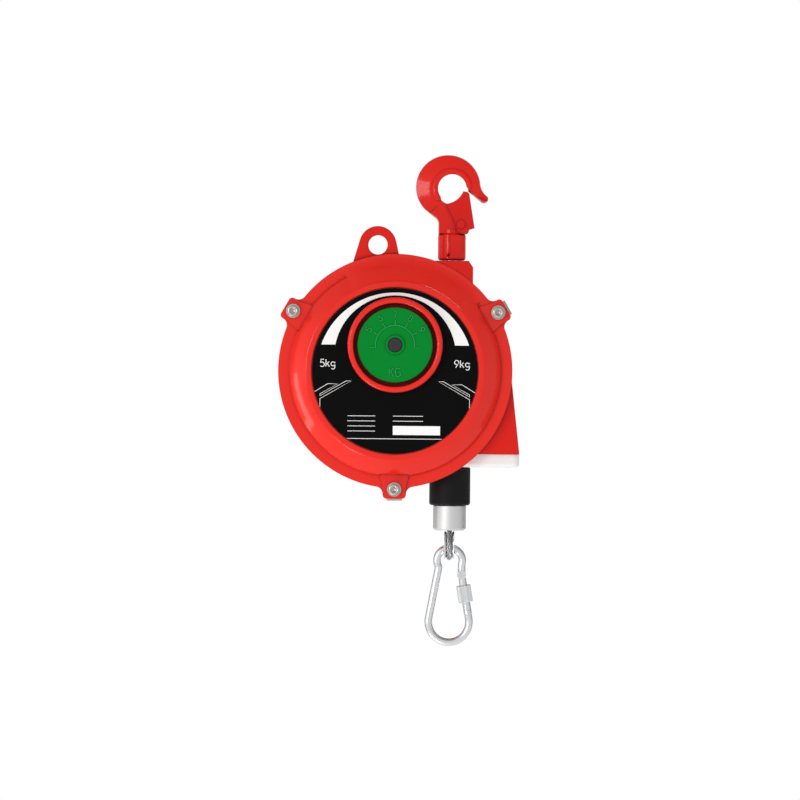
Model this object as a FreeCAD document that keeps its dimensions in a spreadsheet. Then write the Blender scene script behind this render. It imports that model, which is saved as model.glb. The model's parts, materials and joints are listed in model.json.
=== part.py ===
"""Spring balancer for hanging tools, 5 to 9 kg, with a swivel hook and a screw-lock snap hook.

Frame: millimetres, +Z up, +X to the right seen from the front, the front faces -Y.
The origin is the centre of the top hook's eye. The hook, the wire rope and the snap
hook hang on the Z axis. The drum turns about a Y axis to the left of the rope.
"""
import FreeCAD, Part
import math
import os
import Sketcher
from FreeCAD import Placement, Rotation, Vector

# Driving sizes in millimetres or degrees: alias, number, what it is.
SIZES = [
    ("drum_left", 43.0, "drum axis, to the left of the rope"),
    ("drum_below", 143.0, "drum axis, below the hook eye"),
    ("parting", 23.0, "joint face of the two case halves, in front of the rope"),
    ("flange_radius", 91.0, "round flange of the case"),
    ("flange_front", 29.0, "front face of the cover flange, in front of the rope"),
    ("flange_back", 17.0, "back face of the rear flange, in front of the rope"),
    ("step_radius", 82.4, "step between the flange and the domed shoulder"),
    ("rim_radius", 69.2, "outer edge of the rim round the face plate"),
    ("rim_front", 45.0, "front of the rim"),
    ("plate_radius", 64.0, "black face plate"),
    ("plate_seat", 42.6, "seat of the face plate"),
    ("plate_thick", 1.0, "face plate"),
    ("web_back", 39.0, "back of the cover's web"),
    ("case_inner", 73.0, "inside radius of the drum chamber"),
    ("case_outer", 78.0, "outside radius of the drum chamber"),
    ("case_floor", 30.0, "inside face of the rear wall, behind the rope"),
    ("case_back", 34.0, "outside face of the rear wall"),
    ("lug_circle", 92.0, "bolt circle of the three case screws"),
    ("lug_half", 9.0, "half width of a screw lug"),
    ("lug_reach", 99.2, "outer flat of a screw lug"),
    ("lug_corner", 3.0, "corner of a screw lug"),
    ("lug_root", 6.0, "fillet between lug and flange"),
    ("screw_radius", 2.5, "M5 case screw"),
    ("head_radius", 4.25, "head of the M5 case screw"),
    ("head_height", 5.0, "head of the M5 case screw"),
    ("socket_apothem", 2.0, "half the width of the screw's hexagon socket"),
    ("washer_radius", 5.5, "conical spring washer of the case screw"),
    ("washer_thick", 1.3, "conical spring washer of the case screw"),
    ("landing_inner", 80.0, "inner edge of the flat landing round a case screw"),
    ("landing_rise", 1.5, "landing, in front of the flange"),
    ("nut_radius", 4.4, "round nut of the case screw"),
    ("clip_half", 6.0, "half width of a clip nut"),
    ("clip_sheet", 1.6, "spring steel of a clip nut"),
    ("dial_above", 20.0, "dial axis, above the drum axis"),
    ("dial_outer", 36.8, "outer radius of the raised dial ring"),
    ("dial_inner", 32.0, "inner radius of the raised dial ring"),
    ("dial_front", 51.0, "front of the dial ring, in front of the rope"),
    ("dial_disc_radius", 29.0, "green dial disc"),
    ("gear_module", 0.8, "module of the dial's pinion and ring gear"),
    ("boss_top", 57.0, "top of the hook boss, below the hook eye"),
    ("boss_right", 16.8, "right face of the hook boss"),
    ("boss_left", 17.2, "left face of the hook boss"),
    ("boss_back", 16.0, "back face of the hook boss"),
    ("bolt_radius", 7.0, "suspension bolt"),
    ("safety_left", 14.4, "safety hole, to the left of the drum axis"),
    ("safety_above", 98.1, "safety hole, above the drum axis"),
    ("safety_hole", 7.6, "radius of the safety hole"),
    ("safety_outer", 14.4, "outer radius of the safety lug"),
    ("box_right", 54.0, "right wall of the rope box at its bottom"),
    ("box_bottom", 207.0, "bottom of the rope box, below the hook eye"),
    ("box_left", 13.0, "left wall of the rope box"),
    ("box_back", 24.0, "back wall of the rope box"),
    ("box_wall", 3.5, "wall of the rope box"),
    ("guide_bottom", 217.4, "bottom of the rope guide, below the hook eye"),
    ("guide_top", 202.0, "top of the rope guide"),
    ("rope_radius", 2.0, "wire rope"),
    ("drum_small", 43.0, "rope pitch radius at the small end of the drum"),
    ("drum_large", 62.0, "rope pitch radius at the large end of the drum"),
    ("wrap_pitch", 5.3, "spacing of the rope turns"),
    ("spring_outer", 60.0, "outside of the main spring"),
    ("spring_core", 12.0, "spring core of the arbor"),
    ("spring_strip", 1.6, "thickness of the spring strip"),
    ("spring_pitch", 5.2, "growth of the spring per turn"),
    ("barrel_radius", 66.5, "outside of the spring barrel"),
    ("arbor_radius", 7.5, "bearing seats of the arbor"),
    ("wheel_pitch", 30.0, "pitch radius of the worm wheel"),
    ("worm_pitch", 8.0, "pitch radius of the worm"),
    ("worm_module", 2.0, "module of worm and wheel"),
    ("worm_axis", 44.0, "worm and wheel, behind the rope"),
    ("gear_outer", 40.0, "outside radius of the gear housing"),
    ("gear_inner", 35.5, "inside radius of the gear housing"),
    ("gear_floor", 38.0, "floor of the gear housing"),
    ("gear_face", 56.0, "cover face of the gear housing"),
    ("cover_back", 59.5, "back of the gear cover"),
    ("eye_radius", 12.3, "eye of the top hook"),
    ("hook_radius", 25.2, "outside of the top hook"),
    ("hook_half", 7.5, "half thickness of the top hook"),
    ("barrel_hook", 10.8, "radius of the hook's barrel"),
    ("bead_radius", 16.5, "outside of the raised bead round the eye"),
    ("barrel_bottom", 56.0, "lower face of the hook's barrel"),
    ("latch_x", 7.0, "latch pivot, right of the hook axis"),
    ("latch_z", 28.0, "latch pivot, below the hook eye"),
    ("latch_sheet", 1.3, "sheet of the safety latch"),
    ("bumper_radius", 16.0, "rubber bumper"),
    ("bumper_bottom", 247.4, "lower face of the bumper"),
    ("ferrule_radius", 12.85, "ferrule"),
    ("ferrule_bottom", 267.0, "lower face of the ferrule"),
    ("thimble_z", 278.5, "centre of the rope eye, below the hook eye"),
    ("thimble_rope", 10.0, "radius of the rope's path round the thimble"),
    ("thimble_half", 3.9, "half width of the thimble"),
    ("snap_wire", 3.0, "radius of the snap hook's bar"),
    ("bumper_corner", 2.0, "rounding of the bumper's lower edge"),
    ("snap_top_z", 290.8, "centre of the snap hook's upper bow"),
    ("snap_top_x", 0.4, "centre of the upper bow, right of the rope"),
    ("snap_top_bend", 9.9, "radius of the upper bow"),
    ("snap_low_z", 338.7, "centre of the lower bow"),
    ("snap_low_bend", 15.9, "radius of the lower bow"),
    ("hinge_z", 302.0, "hinge of the gate, below the hook eye"),
    ("hinge_radius", 3.5, "eye and fork of the gate's hinge"),
    ("sleeve_start", 8.0, "screw sleeve, below the hinge"),
    ("sleeve_radius", 5.6, "screw sleeve of the snap hook"),
    ("sleeve_length", 13.5, "screw sleeve of the snap hook"),
]


class Size:
    """A number that keeps its spreadsheet formula, so that a sum of sizes stays bound."""

    def __init__(self, value, text):
        self.value = float(value)
        self.text = text

    def __float__(self):
        return self.value

    def __add__(self, other):
        return Size(self.value + float(other), "(%s + %s)" % (self.text, formula(other)))

    def __radd__(self, other):
        return Size(float(other) + self.value, "(%s + %s)" % (formula(other), self.text))

    def __sub__(self, other):
        return Size(self.value - float(other), "(%s - %s)" % (self.text, formula(other)))

    def __rsub__(self, other):
        return Size(float(other) - self.value, "(%s - %s)" % (formula(other), self.text))

    def __mul__(self, other):
        return Size(self.value * float(other), "(%s * %s)" % (self.text, formula(other)))

    __rmul__ = __mul__

    def __truediv__(self, other):
        return Size(self.value / float(other), "(%s / %s)" % (self.text, formula(other)))

    def __neg__(self):
        return Size(-self.value, "(-1 * %s)" % self.text)


def formula(number):
    """The text of a size or of a plain number, for an expression."""
    return number.text if isinstance(number, Size) else "%.6f" % float(number)


def root(number):
    """Square root of a size."""
    return Size(math.sqrt(float(number)), "sqrt(%s)" % formula(number))


class Sheet:
    """The driving sizes, one attribute for each alias of the spreadsheet."""

    def __init__(self, document, rows):
        self.cells = document.addObject("Spreadsheet::Sheet", "Sizes")
        for row, (alias, number, meaning) in enumerate(rows, start=1):
            self.cells.set("A%d" % row, meaning)
            self.cells.set("B%d" % row, str(number))
            self.cells.setAlias("B%d" % row, alias)
            setattr(self, alias, Size(number, "Sizes." + alias))


DOC = FreeCAD.newDocument("ToolBalancer")
S = Sheet(DOC, SIZES)
DOC.recompute()
NODES = []

# ---------------------------------------------------------------- building blocks


def bind(item, path, number):
    """Set a property through an expression."""
    item.setExpression(path, formula(number))


def place(item, x=0, y=0, z=0):
    """Put an object's origin at a bound place."""
    for path, number in (("x", x), ("y", y), ("z", z)):
        bind(item, "Placement.Base." + path, number)


def node(item, label):
    """Name an object and list it for export."""
    item.Label = label
    NODES.append(item)
    return item


def body(label, x=0, y=0, z=0):
    """A new exported body with its own origin."""
    item = DOC.addObject("PartDesign::Body", label)
    item.AllowCompound = True
    place(item, x, y, z)
    return node(item, label)


def drum_body(label):
    """A body whose origin lies where the drum axis crosses the rope's plane."""
    return body(label, -S.drum_left, 0, -S.drum_below)


def origin_part(host, role):
    """An origin plane or axis of a body, by its role."""
    return next(part for part in host.Origin.OriginFeatures if part.Role == role)


def circle(x, y, radius):
    """A round loop of a sketch."""
    return ("circle", x, y, radius)


def draw_circle(drawing, loop):
    """Add a fully constrained circle to a sketch."""
    _, x, y, radius = loop
    centre = Vector(float(x), float(y), 0)
    ring = drawing.addGeometry(Part.Circle(centre, Vector(0, 0, 1), float(radius)), False)
    for kind, target in (("DistanceX", x), ("DistanceY", y)):
        mark = drawing.addConstraint(Sketcher.Constraint(kind, -1, 1, ring, 3, float(target)))
        bind(drawing, "Constraints[%d]" % mark, target)
    mark = drawing.addConstraint(Sketcher.Constraint("Radius", ring, float(radius)))
    bind(drawing, "Constraints[%d]" % mark, radius)


def arc_between(start, end, radius, large):
    """Arc geometry from start to end; a positive radius turns left. Returns it and its end marks."""
    chord = end - start
    left = Vector(-chord.y, chord.x, 0).normalize()
    reach = math.sqrt(max(radius * radius - chord.Length ** 2 / 4.0, 0.0))
    side = 1.0 if (radius > 0) != large else -1.0
    centre = (start + end) * 0.5 + left * (reach * side)
    first, last = (start, end) if radius > 0 else (end, start)
    angles = [math.atan2(p.y - centre.y, p.x - centre.x) for p in (first, last)]
    ring = Part.Circle(centre, Vector(0, 0, 1), abs(radius))
    marks = (1, 2) if radius > 0 else (2, 1)
    return Part.ArcOfCircle(ring, angles[0], angles[1]), marks


def draw_outline(drawing, points):
    """Add a closed outline. A point is (x, y) or (x, y, radius) or (x, y, radius, True).

    The radius belongs to the edge that leaves the point: positive turns left, negative
    turns right, and True asks for the large arc.
    """
    spots = [Vector(float(p[0]), float(p[1]), 0) for p in points]
    edges = []
    for index, point in enumerate(points):
        start, end = spots[index], spots[(index + 1) % len(points)]
        if len(point) > 2:
            curve, marks = arc_between(start, end, float(point[2]), len(point) > 3)
        else:
            curve, marks = Part.LineSegment(start, end), (1, 2)
        edges.append((drawing.addGeometry(curve, False), marks))
    for index, (edge, marks) in enumerate(edges):
        after, after_marks = edges[(index + 1) % len(edges)]
        drawing.addConstraint(
            Sketcher.Constraint("Coincident", edge, marks[1], after, after_marks[0]))
    for point, (edge, marks) in zip(points, edges):
        for kind, target in (("DistanceX", point[0]), ("DistanceY", point[1])):
            mark = drawing.addConstraint(
                Sketcher.Constraint(kind, -1, 1, edge, marks[0], float(target)))
            bind(drawing, "Constraints[%d]" % mark, target)
        if len(point) > 2:
            bend = point[2] if float(point[2]) > 0 else -point[2]
            mark = drawing.addConstraint(Sketcher.Constraint("Radius", edge, float(bend)))
            bind(drawing, "Constraints[%d]" % mark, bend)


def sketch(host, name, role, loops, away=0, across=0, spin=0):
    """A sketch on one of the body's origin planes, moved off it by away.

    across moves the sketch along its first axis, and spin turns it about its second one.
    """
    drawing = host.newObject("Sketcher::SketchObject", name)
    drawing.AttachmentSupport = (origin_part(host, role), [""])
    drawing.MapMode = "FlatFace"
    drawing.AttachmentOffset = Placement(Vector(), Rotation(Vector(0, 1, 0), spin))
    bind(drawing, "AttachmentOffset.Base.x", across)
    bind(drawing, "AttachmentOffset.Base.z", away)
    for loop in loops:
        if loop[0] == "circle":
            draw_circle(drawing, loop)
        else:
            draw_outline(drawing, loop)
    return drawing


def check_change(host, before, grows, name):
    """Stop when a feature failed to add or to cut material."""
    DOC.recompute()
    change = host.Shape.Volume - before
    if (change > 1e-3) != grows or abs(change) < 1e-3:
        raise RuntimeError("%s changed the volume by %.3f" % (name, change))


def volume_of(host):
    """Volume so far, 0 for an empty body."""
    return 0.0 if host.Shape.isNull() else host.Shape.Volume


def sweep_feature(host, kind, name, profile, grows, settings, bound):
    """Add one sketch-based feature and check that it did its work."""
    before = volume_of(host)
    item = host.newObject(kind, name)
    item.Profile = profile
    for key, setting in settings.items():
        setattr(item, key, setting)
    for key, number in bound.items():
        bind(item, key, number)
    check_change(host, before, grows, name)
    return item


def turn(host, name, points, plane="XY_Plane", across=0, angle=360, spin=0):
    """Revolve an outline of (radius, height) about the sketch's vertical axis."""
    profile = sketch(host, name + "_outline", plane, [points], across=across, spin=spin)
    settings = {"ReferenceAxis": (profile, ["V_Axis"]), "Angle": angle}
    return sweep_feature(host, "PartDesign::Revolution", name, profile, True, settings, {})


def ramp(host, name, first, second):
    """Fill between two outlines of (radius, height) at two turns about the Y axis."""
    before = volume_of(host)
    ends = [sketch(host, "%s_%d" % (name, number), "XY_Plane", [points], spin=spin)
            for number, (points, spin) in enumerate((first, second))]
    item = host.newObject("PartDesign::AdditiveLoft", name)
    item.Profile = ends[0]
    item.Sections = [ends[1]]
    item.Ruled = True
    check_change(host, before, True, name)


def groove(host, name, points, plane="XY_Plane", across=0, angle=360, spin=0):
    """Cut a revolved outline."""
    profile = sketch(host, name + "_outline", plane, [points], across=across, spin=spin)
    settings = {"ReferenceAxis": (profile, ["V_Axis"]), "Angle": angle}
    return sweep_feature(host, "PartDesign::Groove", name, profile, False, settings, {})


def pad_y(host, name, loops, front, back, taper=0, rearward=True):
    """Raise loops of (x, z) from one Y place to another; rearward grows towards +Y."""
    away = -front if rearward else -back
    profile = sketch(host, name + "_outline", "XZ_Plane", loops, away=away)
    settings = {"Reversed": rearward, "TaperAngle": taper}
    length = (back - front)
    return sweep_feature(host, "PartDesign::Pad", name, profile, True, settings,
                         {"Length": length})


def pocket_y(host, name, loops, front, back):
    """Cut loops of (x, z) from the Y place front to back."""
    profile = sketch(host, name + "_outline", "XZ_Plane", loops, away=-front)
    return sweep_feature(host, "PartDesign::Pocket", name, profile, False, {},
                         {"Length": back - front})


def pocket_z(host, name, loops, top, bottom):
    """Cut loops of (x, y) downwards from top to bottom."""
    profile = sketch(host, name + "_outline", "XY_Plane", loops, away=top)
    return sweep_feature(host, "PartDesign::Pocket", name, profile, False, {},
                         {"Length": top - bottom})


def pad_z(host, name, loops, bottom, top, taper=0):
    """Raise loops of (x, y) from bottom to top."""
    profile = sketch(host, name + "_outline", "XY_Plane", loops, away=bottom)
    return sweep_feature(host, "PartDesign::Pad", name, profile, True, {"TaperAngle": taper},
                         {"Length": top - bottom})


def pad_x(host, name, loops, left, right):
    """Raise loops of (y, z) from left to right."""
    profile = sketch(host, name + "_outline", "YZ_Plane", loops, away=left)
    return sweep_feature(host, "PartDesign::Pad", name, profile, True, {},
                         {"Length": right - left})


def pocket_x(host, name, loops, left, right):
    """Cut loops of (y, z) between two X places."""
    profile = sketch(host, name + "_outline", "YZ_Plane", loops, away=right)
    return sweep_feature(host, "PartDesign::Pocket", name, profile, False, {},
                         {"Length": right - left})


def pattern(host, name, features, count, role="Y_Axis", angle=360, backward=False):
    """Repeat features evenly over an angle about an axis of the body."""
    item = host.newObject("PartDesign::PolarPattern", name)
    item.Originals = features
    item.Axis = (origin_part(host, role), [""])
    item.Angle = angle
    item.Reversed = backward
    item.Occurrences = count
    host.Tip = item
    DOC.recompute()
    return item


def soften(host, name, radius, wanted, chamfer=False):
    """Round (or chamfer) those edges of the body that the test picks."""
    DOC.recompute()
    base = host.Tip
    names = ["Edge%d" % (number + 1) for number, edge in enumerate(base.Shape.Edges)
             if wanted(edge)]
    if not names:
        raise RuntimeError("no edge for " + name)
    before = host.Shape.Volume
    kind = "PartDesign::Chamfer" if chamfer else "PartDesign::Fillet"
    item = host.newObject(kind, name)
    item.Base = (base, names)
    bind(item, "Size" if chamfer else "Radius", radius)
    DOC.recompute()
    if abs(host.Shape.Volume - before) < 1e-4 or "Up-to-date" not in item.State:
        raise RuntimeError("%s did nothing: %s" % (name, item.State))
    return item


def is_ring(edge, radius, level, slack=0.05):
    """True for a round edge about a Y axis with this radius at this Y place."""
    curve = edge.Curve
    return (isinstance(curve, Part.Circle) and abs(curve.Radius - float(radius)) < slack
            and abs(curve.Center.y - float(level)) < slack and abs(curve.Axis.y) > 0.99)


def is_upright(edge, axis, radius, slack=0.4):
    """True for a straight edge along Y at this distance from a Y axis (x, z)."""
    if not isinstance(edge.Curve, Part.Line):
        return False
    ends = [vertex.Point for vertex in edge.Vertexes]
    along = abs(ends[0].y - ends[1].y)
    reach = math.hypot(ends[0].x - float(axis[0]), ends[0].z - float(axis[1]))
    return abs(along - edge.Length) < 1e-3 and abs(reach - float(radius)) < slack


def plain_feature(label, shape, x=0, y=0, z=0):
    """A part whose shape is worked out directly."""
    item = DOC.addObject("Part::Feature", label)
    item.Shape = shape
    item.Placement = Placement(Vector(float(x), float(y), float(z)), Rotation())
    return node(item, label)


class Trail:
    """A flat path of straight runs and tangent arcs, drawn step by step."""

    def __init__(self, across, up, start, heading):
        self.across = Vector(*across)
        self.up = Vector(*up)
        self.at = start
        self.heading = heading
        self.edges = []

    def spot(self, flat):
        """A flat point in space."""
        return self.across * flat[0] + self.up * flat[1]

    def run(self, length):
        """Go straight on."""
        turn_by = math.radians(self.heading)
        end = (self.at[0] + length * math.cos(turn_by), self.at[1] + length * math.sin(turn_by))
        line = Part.LineSegment(self.spot(self.at), self.spot(end)).toShape()
        self.edges.append((line, None, 0))
        self.at = end

    def bend(self, radius, degrees):
        """Turn by some degrees, positive to the left."""
        side = 1.0 if degrees > 0 else -1.0
        normal = math.radians(self.heading + 90.0 * side)
        centre = (self.at[0] + radius * math.cos(normal), self.at[1] + radius * math.sin(normal))

        def spot_at(turned):
            angle = normal + math.pi + math.radians(turned)
            return (centre[0] + radius * math.cos(angle), centre[1] + radius * math.sin(angle))

        middle, end = spot_at(degrees / 2.0), spot_at(degrees)
        arc = Part.Arc(self.spot(self.at), self.spot(middle), self.spot(end))
        self.edges.append((arc.toShape(), self.spot(centre), degrees))
        self.at = end
        self.heading += degrees

    def tube(self, radius):
        """A round bar along the path, a cylinder or a part of a torus for each step."""
        solids = []
        for edge, pivot, degrees in self.edges:
            start = edge.valueAt(edge.FirstParameter)
            ahead = edge.tangentAt(edge.FirstParameter)
            disc = Part.Face(Part.Wire([Part.makeCircle(radius, start, ahead)]))
            if degrees:
                solids.append(disc.revolve(pivot, self.across.cross(self.up), degrees))
            else:
                solids.append(disc.extrude(ahead * edge.Length))
        return solids[0].fuse(solids[1:]).removeSplitter()


def rod(radius, start, end, hole=0.0):
    """A round bar or tube between two points."""
    base, tip = Vector(*start), Vector(*end)
    along = tip - base
    bar = Part.makeCylinder(radius, along.Length, base, along)
    if hole > 0:
        bar = bar.cut(Part.makeCylinder(hole, along.Length, base, along))
    return bar

# ---------------------------------------------------------------- case castings


def lug_outline(reach, inside):
    """One screw lug that points down."""
    half, corner = S.lug_half, S.lug_corner
    return [(-half, -inside), (-half, corner - reach, corner), (corner - half, -reach),
            (half - corner, -reach, corner), (half, corner - reach), (half, -inside)]


def landing_outline():
    """The flat landing round a case screw, wider where it meets the shoulder."""
    half, corner, wide = S.lug_half, S.lug_corner, S.lug_half + 2.5
    return [(-wide, -S.landing_inner), (-half, -S.flange_radius + 1), (-half, corner - S.lug_reach,
            corner), (corner - half, -S.lug_reach), (half - corner, -S.lug_reach, corner),
            (half, corner - S.lug_reach), (half, -S.flange_radius + 1), (wide, -S.landing_inner)]


def build_front_cover():
    """Domed front casting: flange, step, shoulder, rim, plate seat, dial ring and lugs."""
    cover = drum_body("front_cover")
    rim, sector_ends = S.rim_radius, (-115, -45)
    turn(cover, "dome", [
        (0, -S.plate_seat), (S.plate_radius + 0.5, -S.plate_seat),
        (S.plate_radius + 0.9, -S.rim_front), (rim - 1.2, -S.rim_front, 2.5),
        (rim + 0.6, -S.rim_front + 0.7, 60), (S.step_radius - 1.4, -S.flange_front - 3.6, 4),
        (S.step_radius - 0.4, -S.flange_front - 1.6), (S.step_radius, -S.flange_front),
        (S.flange_radius, -S.flange_front), (S.flange_radius, -S.parting),
        (S.case_inner - 0.3, -S.parting), (S.case_inner - 0.3, 3 - S.parting),
        (S.case_inner - 4, 3 - S.parting), (S.case_inner - 4, 5 - S.web_back),
        (S.case_inner - 9, -S.web_back), (0, -S.web_back)])
    # the shoulder is a little prouder over the sector from the hook boss to the right lug
    proud = [
        (rim - 0.5, 1 - S.rim_front), (rim + 0.8, -S.rim_front + 0.1, 60),
        (S.step_radius - 0.9, -S.flange_front - 4.4, -12),
        (S.flange_radius - 3.5, -S.flange_front - 0.15),
        (S.flange_radius - 3.5, 0.5 - S.flange_front), (S.step_radius - 4, 0.5 - S.flange_front)]
    sunk = [
        (rim - 0.5, 1 - S.rim_front), (rim + 0.4, 1 - S.rim_front, 60),
        (S.step_radius - 2.2, -S.flange_front - 3.6, -12),
        (S.flange_radius - 4.5, 0.2 - S.flange_front),
        (S.flange_radius - 4.5, 0.8 - S.flange_front), (S.step_radius - 5, 0.8 - S.flange_front)]
    turn(cover, "proud_sector", proud, angle=sector_ends[1] - sector_ends[0],
         spin=sector_ends[0])
    for name, end, fade in (("sector_start", sector_ends[0], -3.2),
                            ("sector_end", sector_ends[1], 5.5)):
        ramp(cover, name, (proud, end), (sunk, end + fade))
    lug = pad_y(cover, "lug", [lug_outline(S.lug_reach, S.flange_radius - 8)],
                -S.flange_front, -S.parting)
    level = -S.flange_front - S.landing_rise
    landing = pad_y(cover, "landing", [landing_outline()], level, 1 - S.flange_front)
    room = pocket_y(cover, "landing_room", [landing_outline()], -S.rim_front, level)
    hole = pocket_y(cover, "screw_hole", [circle(0, -S.lug_circle, S.screw_radius + 0.3)],
                    level, -S.parting)
    pattern(cover, "three_lugs", [lug, landing, room, hole], 3)
    pad_y(cover, "dial_ring", [circle(0, S.dial_above, S.dial_outer),
                               circle(0, S.dial_above, S.dial_inner)],
          -S.dial_front, 1 - S.plate_seat)
    pocket_y(cover, "dial_cup", [circle(0, S.dial_above, S.dial_inner)],
             -S.dial_front, 0.3 - S.plate_seat)
    pocket_y(cover, "arbor_hole", [circle(0, 0, 6)], -S.plate_seat, -S.web_back)
    pocket_y(cover, "hub_hole", [circle(0, S.dial_above, 2.5)], -S.plate_seat, -S.web_back)
    soften(cover, "lug_roots", S.lug_root,
           lambda edge: is_upright(edge, (0, 0), S.flange_radius))
    soften(cover, "dial_ring_round", 2.1, lambda edge: any(
        is_ring(edge, radius, -S.dial_front) for radius in (S.dial_outer, S.dial_inner)))
    return cover


def build_rear_case():
    """Rear casting: drum chamber, rope box, hook boss, safety lug and worm gear housing."""
    case = drum_body("rear_case")
    turn(case, "chamber_wall", [
        (0, S.case_floor - 6), (S.case_outer - 9, S.case_floor - 6),
        (S.case_outer - 9, -S.parting), (S.flange_radius, -S.parting),
        (S.flange_radius, -S.flange_back), (S.case_outer + 3, -S.flange_back, -3),
        (S.case_outer, 3 - S.flange_back), (S.case_outer, S.case_back - 6, 6),
        (S.case_outer - 6, S.case_back), (S.gear_outer + 2, S.case_back, -2),
        (S.gear_outer, S.case_back + 2), (S.gear_outer, S.gear_face), (0, S.gear_face)])
    # eight ribs, clear of the worm housing
    along, across = (math.cos(math.pi / 8), math.sin(math.pi / 8)), 1.6
    inner, outer = S.gear_outer - 2, S.case_outer - 8
    rib = pad_y(case, "rib", [[
        (inner * along[0] + across * along[1], inner * along[1] - across * along[0]),
        (outer * along[0] + across * along[1], outer * along[1] - across * along[0]),
        (outer * along[0] - across * along[1], outer * along[1] + across * along[0]),
        (inner * along[0] - across * along[1], inner * along[1] + across * along[0])]],
        S.case_back - 1, S.case_back + 4)
    pattern(case, "ribs", [rib], 8)
    lug = pad_y(case, "lug", [lug_outline(S.lug_reach, S.flange_radius - 8)],
                -S.parting, -S.flange_back)
    hole = pocket_y(case, "screw_hole", [circle(0, -S.lug_circle, S.screw_radius + 0.3)],
                    -S.parting, -S.flange_back)
    step = pocket_y(case, "clip_step", [[
        (-S.clip_half - 0.3, -S.lug_reach - 1), (S.clip_half + 0.3, -S.lug_reach - 1),
        (S.clip_half + 0.3, 9.5 - S.lug_circle), (-S.clip_half - 0.3, 9.5 - S.lug_circle)]],
        -S.parting, S.clip_sheet - S.parting)
    pattern(case, "three_lugs", [lug, hole, step], 3)
    soften(case, "lug_roots", S.lug_root,
           lambda edge: is_upright(edge, (0, 0), S.flange_radius) and edge.Length > 5.5)
    # rope box: flaring right wall, flat open bottom
    low, left = S.drum_below - S.box_bottom, S.drum_left - S.box_left
    right = S.drum_left + S.box_right
    pad_y(case, "rope_box", [[(left, low), (right, low), (S.flange_radius * 0.954, 27.5),
                              (40, 27.5), (left, -30)]], -S.parting + 2, S.box_back)
    soften(case, "box_corners", 6, lambda edge: isinstance(edge.Curve, Part.Line)
           and abs(edge.Vertexes[0].Y - edge.Vertexes[1].Y) < 1e-3
           and edge.BoundBox.XMax > float(right) - 0.5 and edge.Length > 60)
    # hook boss
    near, far, top = S.drum_left - S.boss_left, S.drum_left + S.boss_right, S.drum_below - S.boss_top
    pad_y(case, "hook_boss", [[(near, 55), (far, 50), (far, top - 5), (far - 3.4, top),
                               (near + 3, top), (near, top - 3)]], -S.flange_front, S.boss_back)
    # safety lug
    sx, sz, outer = -S.safety_left, S.safety_above, S.safety_outer
    pad_y(case, "safety_lug", [[
        (-33.5, 84.5), (1.8, 84), (1.8, 91.6), (sx + outer * 0.976, sz + outer * 0.22, outer),
        (sx - outer * 0.96, sz + outer * 0.28)]], -S.flange_front + 2, 5 - S.flange_back)
    pocket_y(case, "safety_hole", [circle(sx, sz, S.safety_hole)], -S.flange_front,
             5 - S.flange_back)
    soften(case, "safety_edge", 1.2, lambda edge: isinstance(edge.Curve, Part.Circle)
           and abs(edge.Curve.Radius - float(S.safety_hole)) < 0.05)
    # worm housing across the back, then every hollow
    pad_x(case, "worm_housing", [circle(S.worm_axis, -(S.wheel_pitch + S.worm_pitch), 13.6)],
          -46, 34)
    pocket_y(case, "cover_room", [circle(0, 0, S.flange_radius + 0.15)],
             -S.flange_front - 1, -S.parting)
    pocket_y(case, "chamber", [circle(0, 0, S.case_inner)], -S.parting, S.case_floor)
    pocket_y(case, "gear_room", [circle(0, 0, S.gear_inner)], S.gear_floor, S.gear_face)
    pocket_y(case, "cover_land", [circle(0, 0, S.gear_outer + 0.5)], S.gear_face,
             S.gear_face + 6)
    pocket_y(case, "bush_seat", [circle(0, 0, 11)], S.case_floor, S.gear_floor)
    worm_z = -(S.wheel_pitch + S.worm_pitch)
    pocket_x(case, "worm_bore", [circle(S.worm_axis, worm_z, 10.6)], -46, 25)
    pocket_x(case, "worm_end_bore", [circle(S.worm_axis, worm_z, 8)], 24, 31)
    wall = S.box_wall
    pocket_y(case, "guide_room", [[
        (left - 0.1, low), (right + 1, low), (right + 1, low - 14), (left - 0.1, low - 14)]],
        -S.flange_back, S.box_back + 0.2)
    pocket_y(case, "box_hollow", [[
        (left + wall, low - 1), (right - wall, low - 1), (right - wall, low + 1),
        (S.flange_radius * 0.954 - wall, 27.5 - wall), (45, 27.5 - wall), (left + wall, -28)]],
        wall - S.flange_back - 0.5, S.box_back - wall)
    # bore for the suspension bolt with room for its head
    pocket_z(case, "bolt_bore", [circle(S.drum_left, 0, S.bolt_radius + 0.15)], top, top - 12)
    pocket_z(case, "bolt_room", [circle(S.drum_left, 0, 13.4)], top - 10, 50)
    screw = pocket_y(case, "cover_screw_hole", [circle(0, S.gear_inner + 2.2, 1.3)],
                     S.gear_face - 8, S.gear_face)
    pattern(case, "cover_screw_holes", [screw], 3)
    return case


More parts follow.
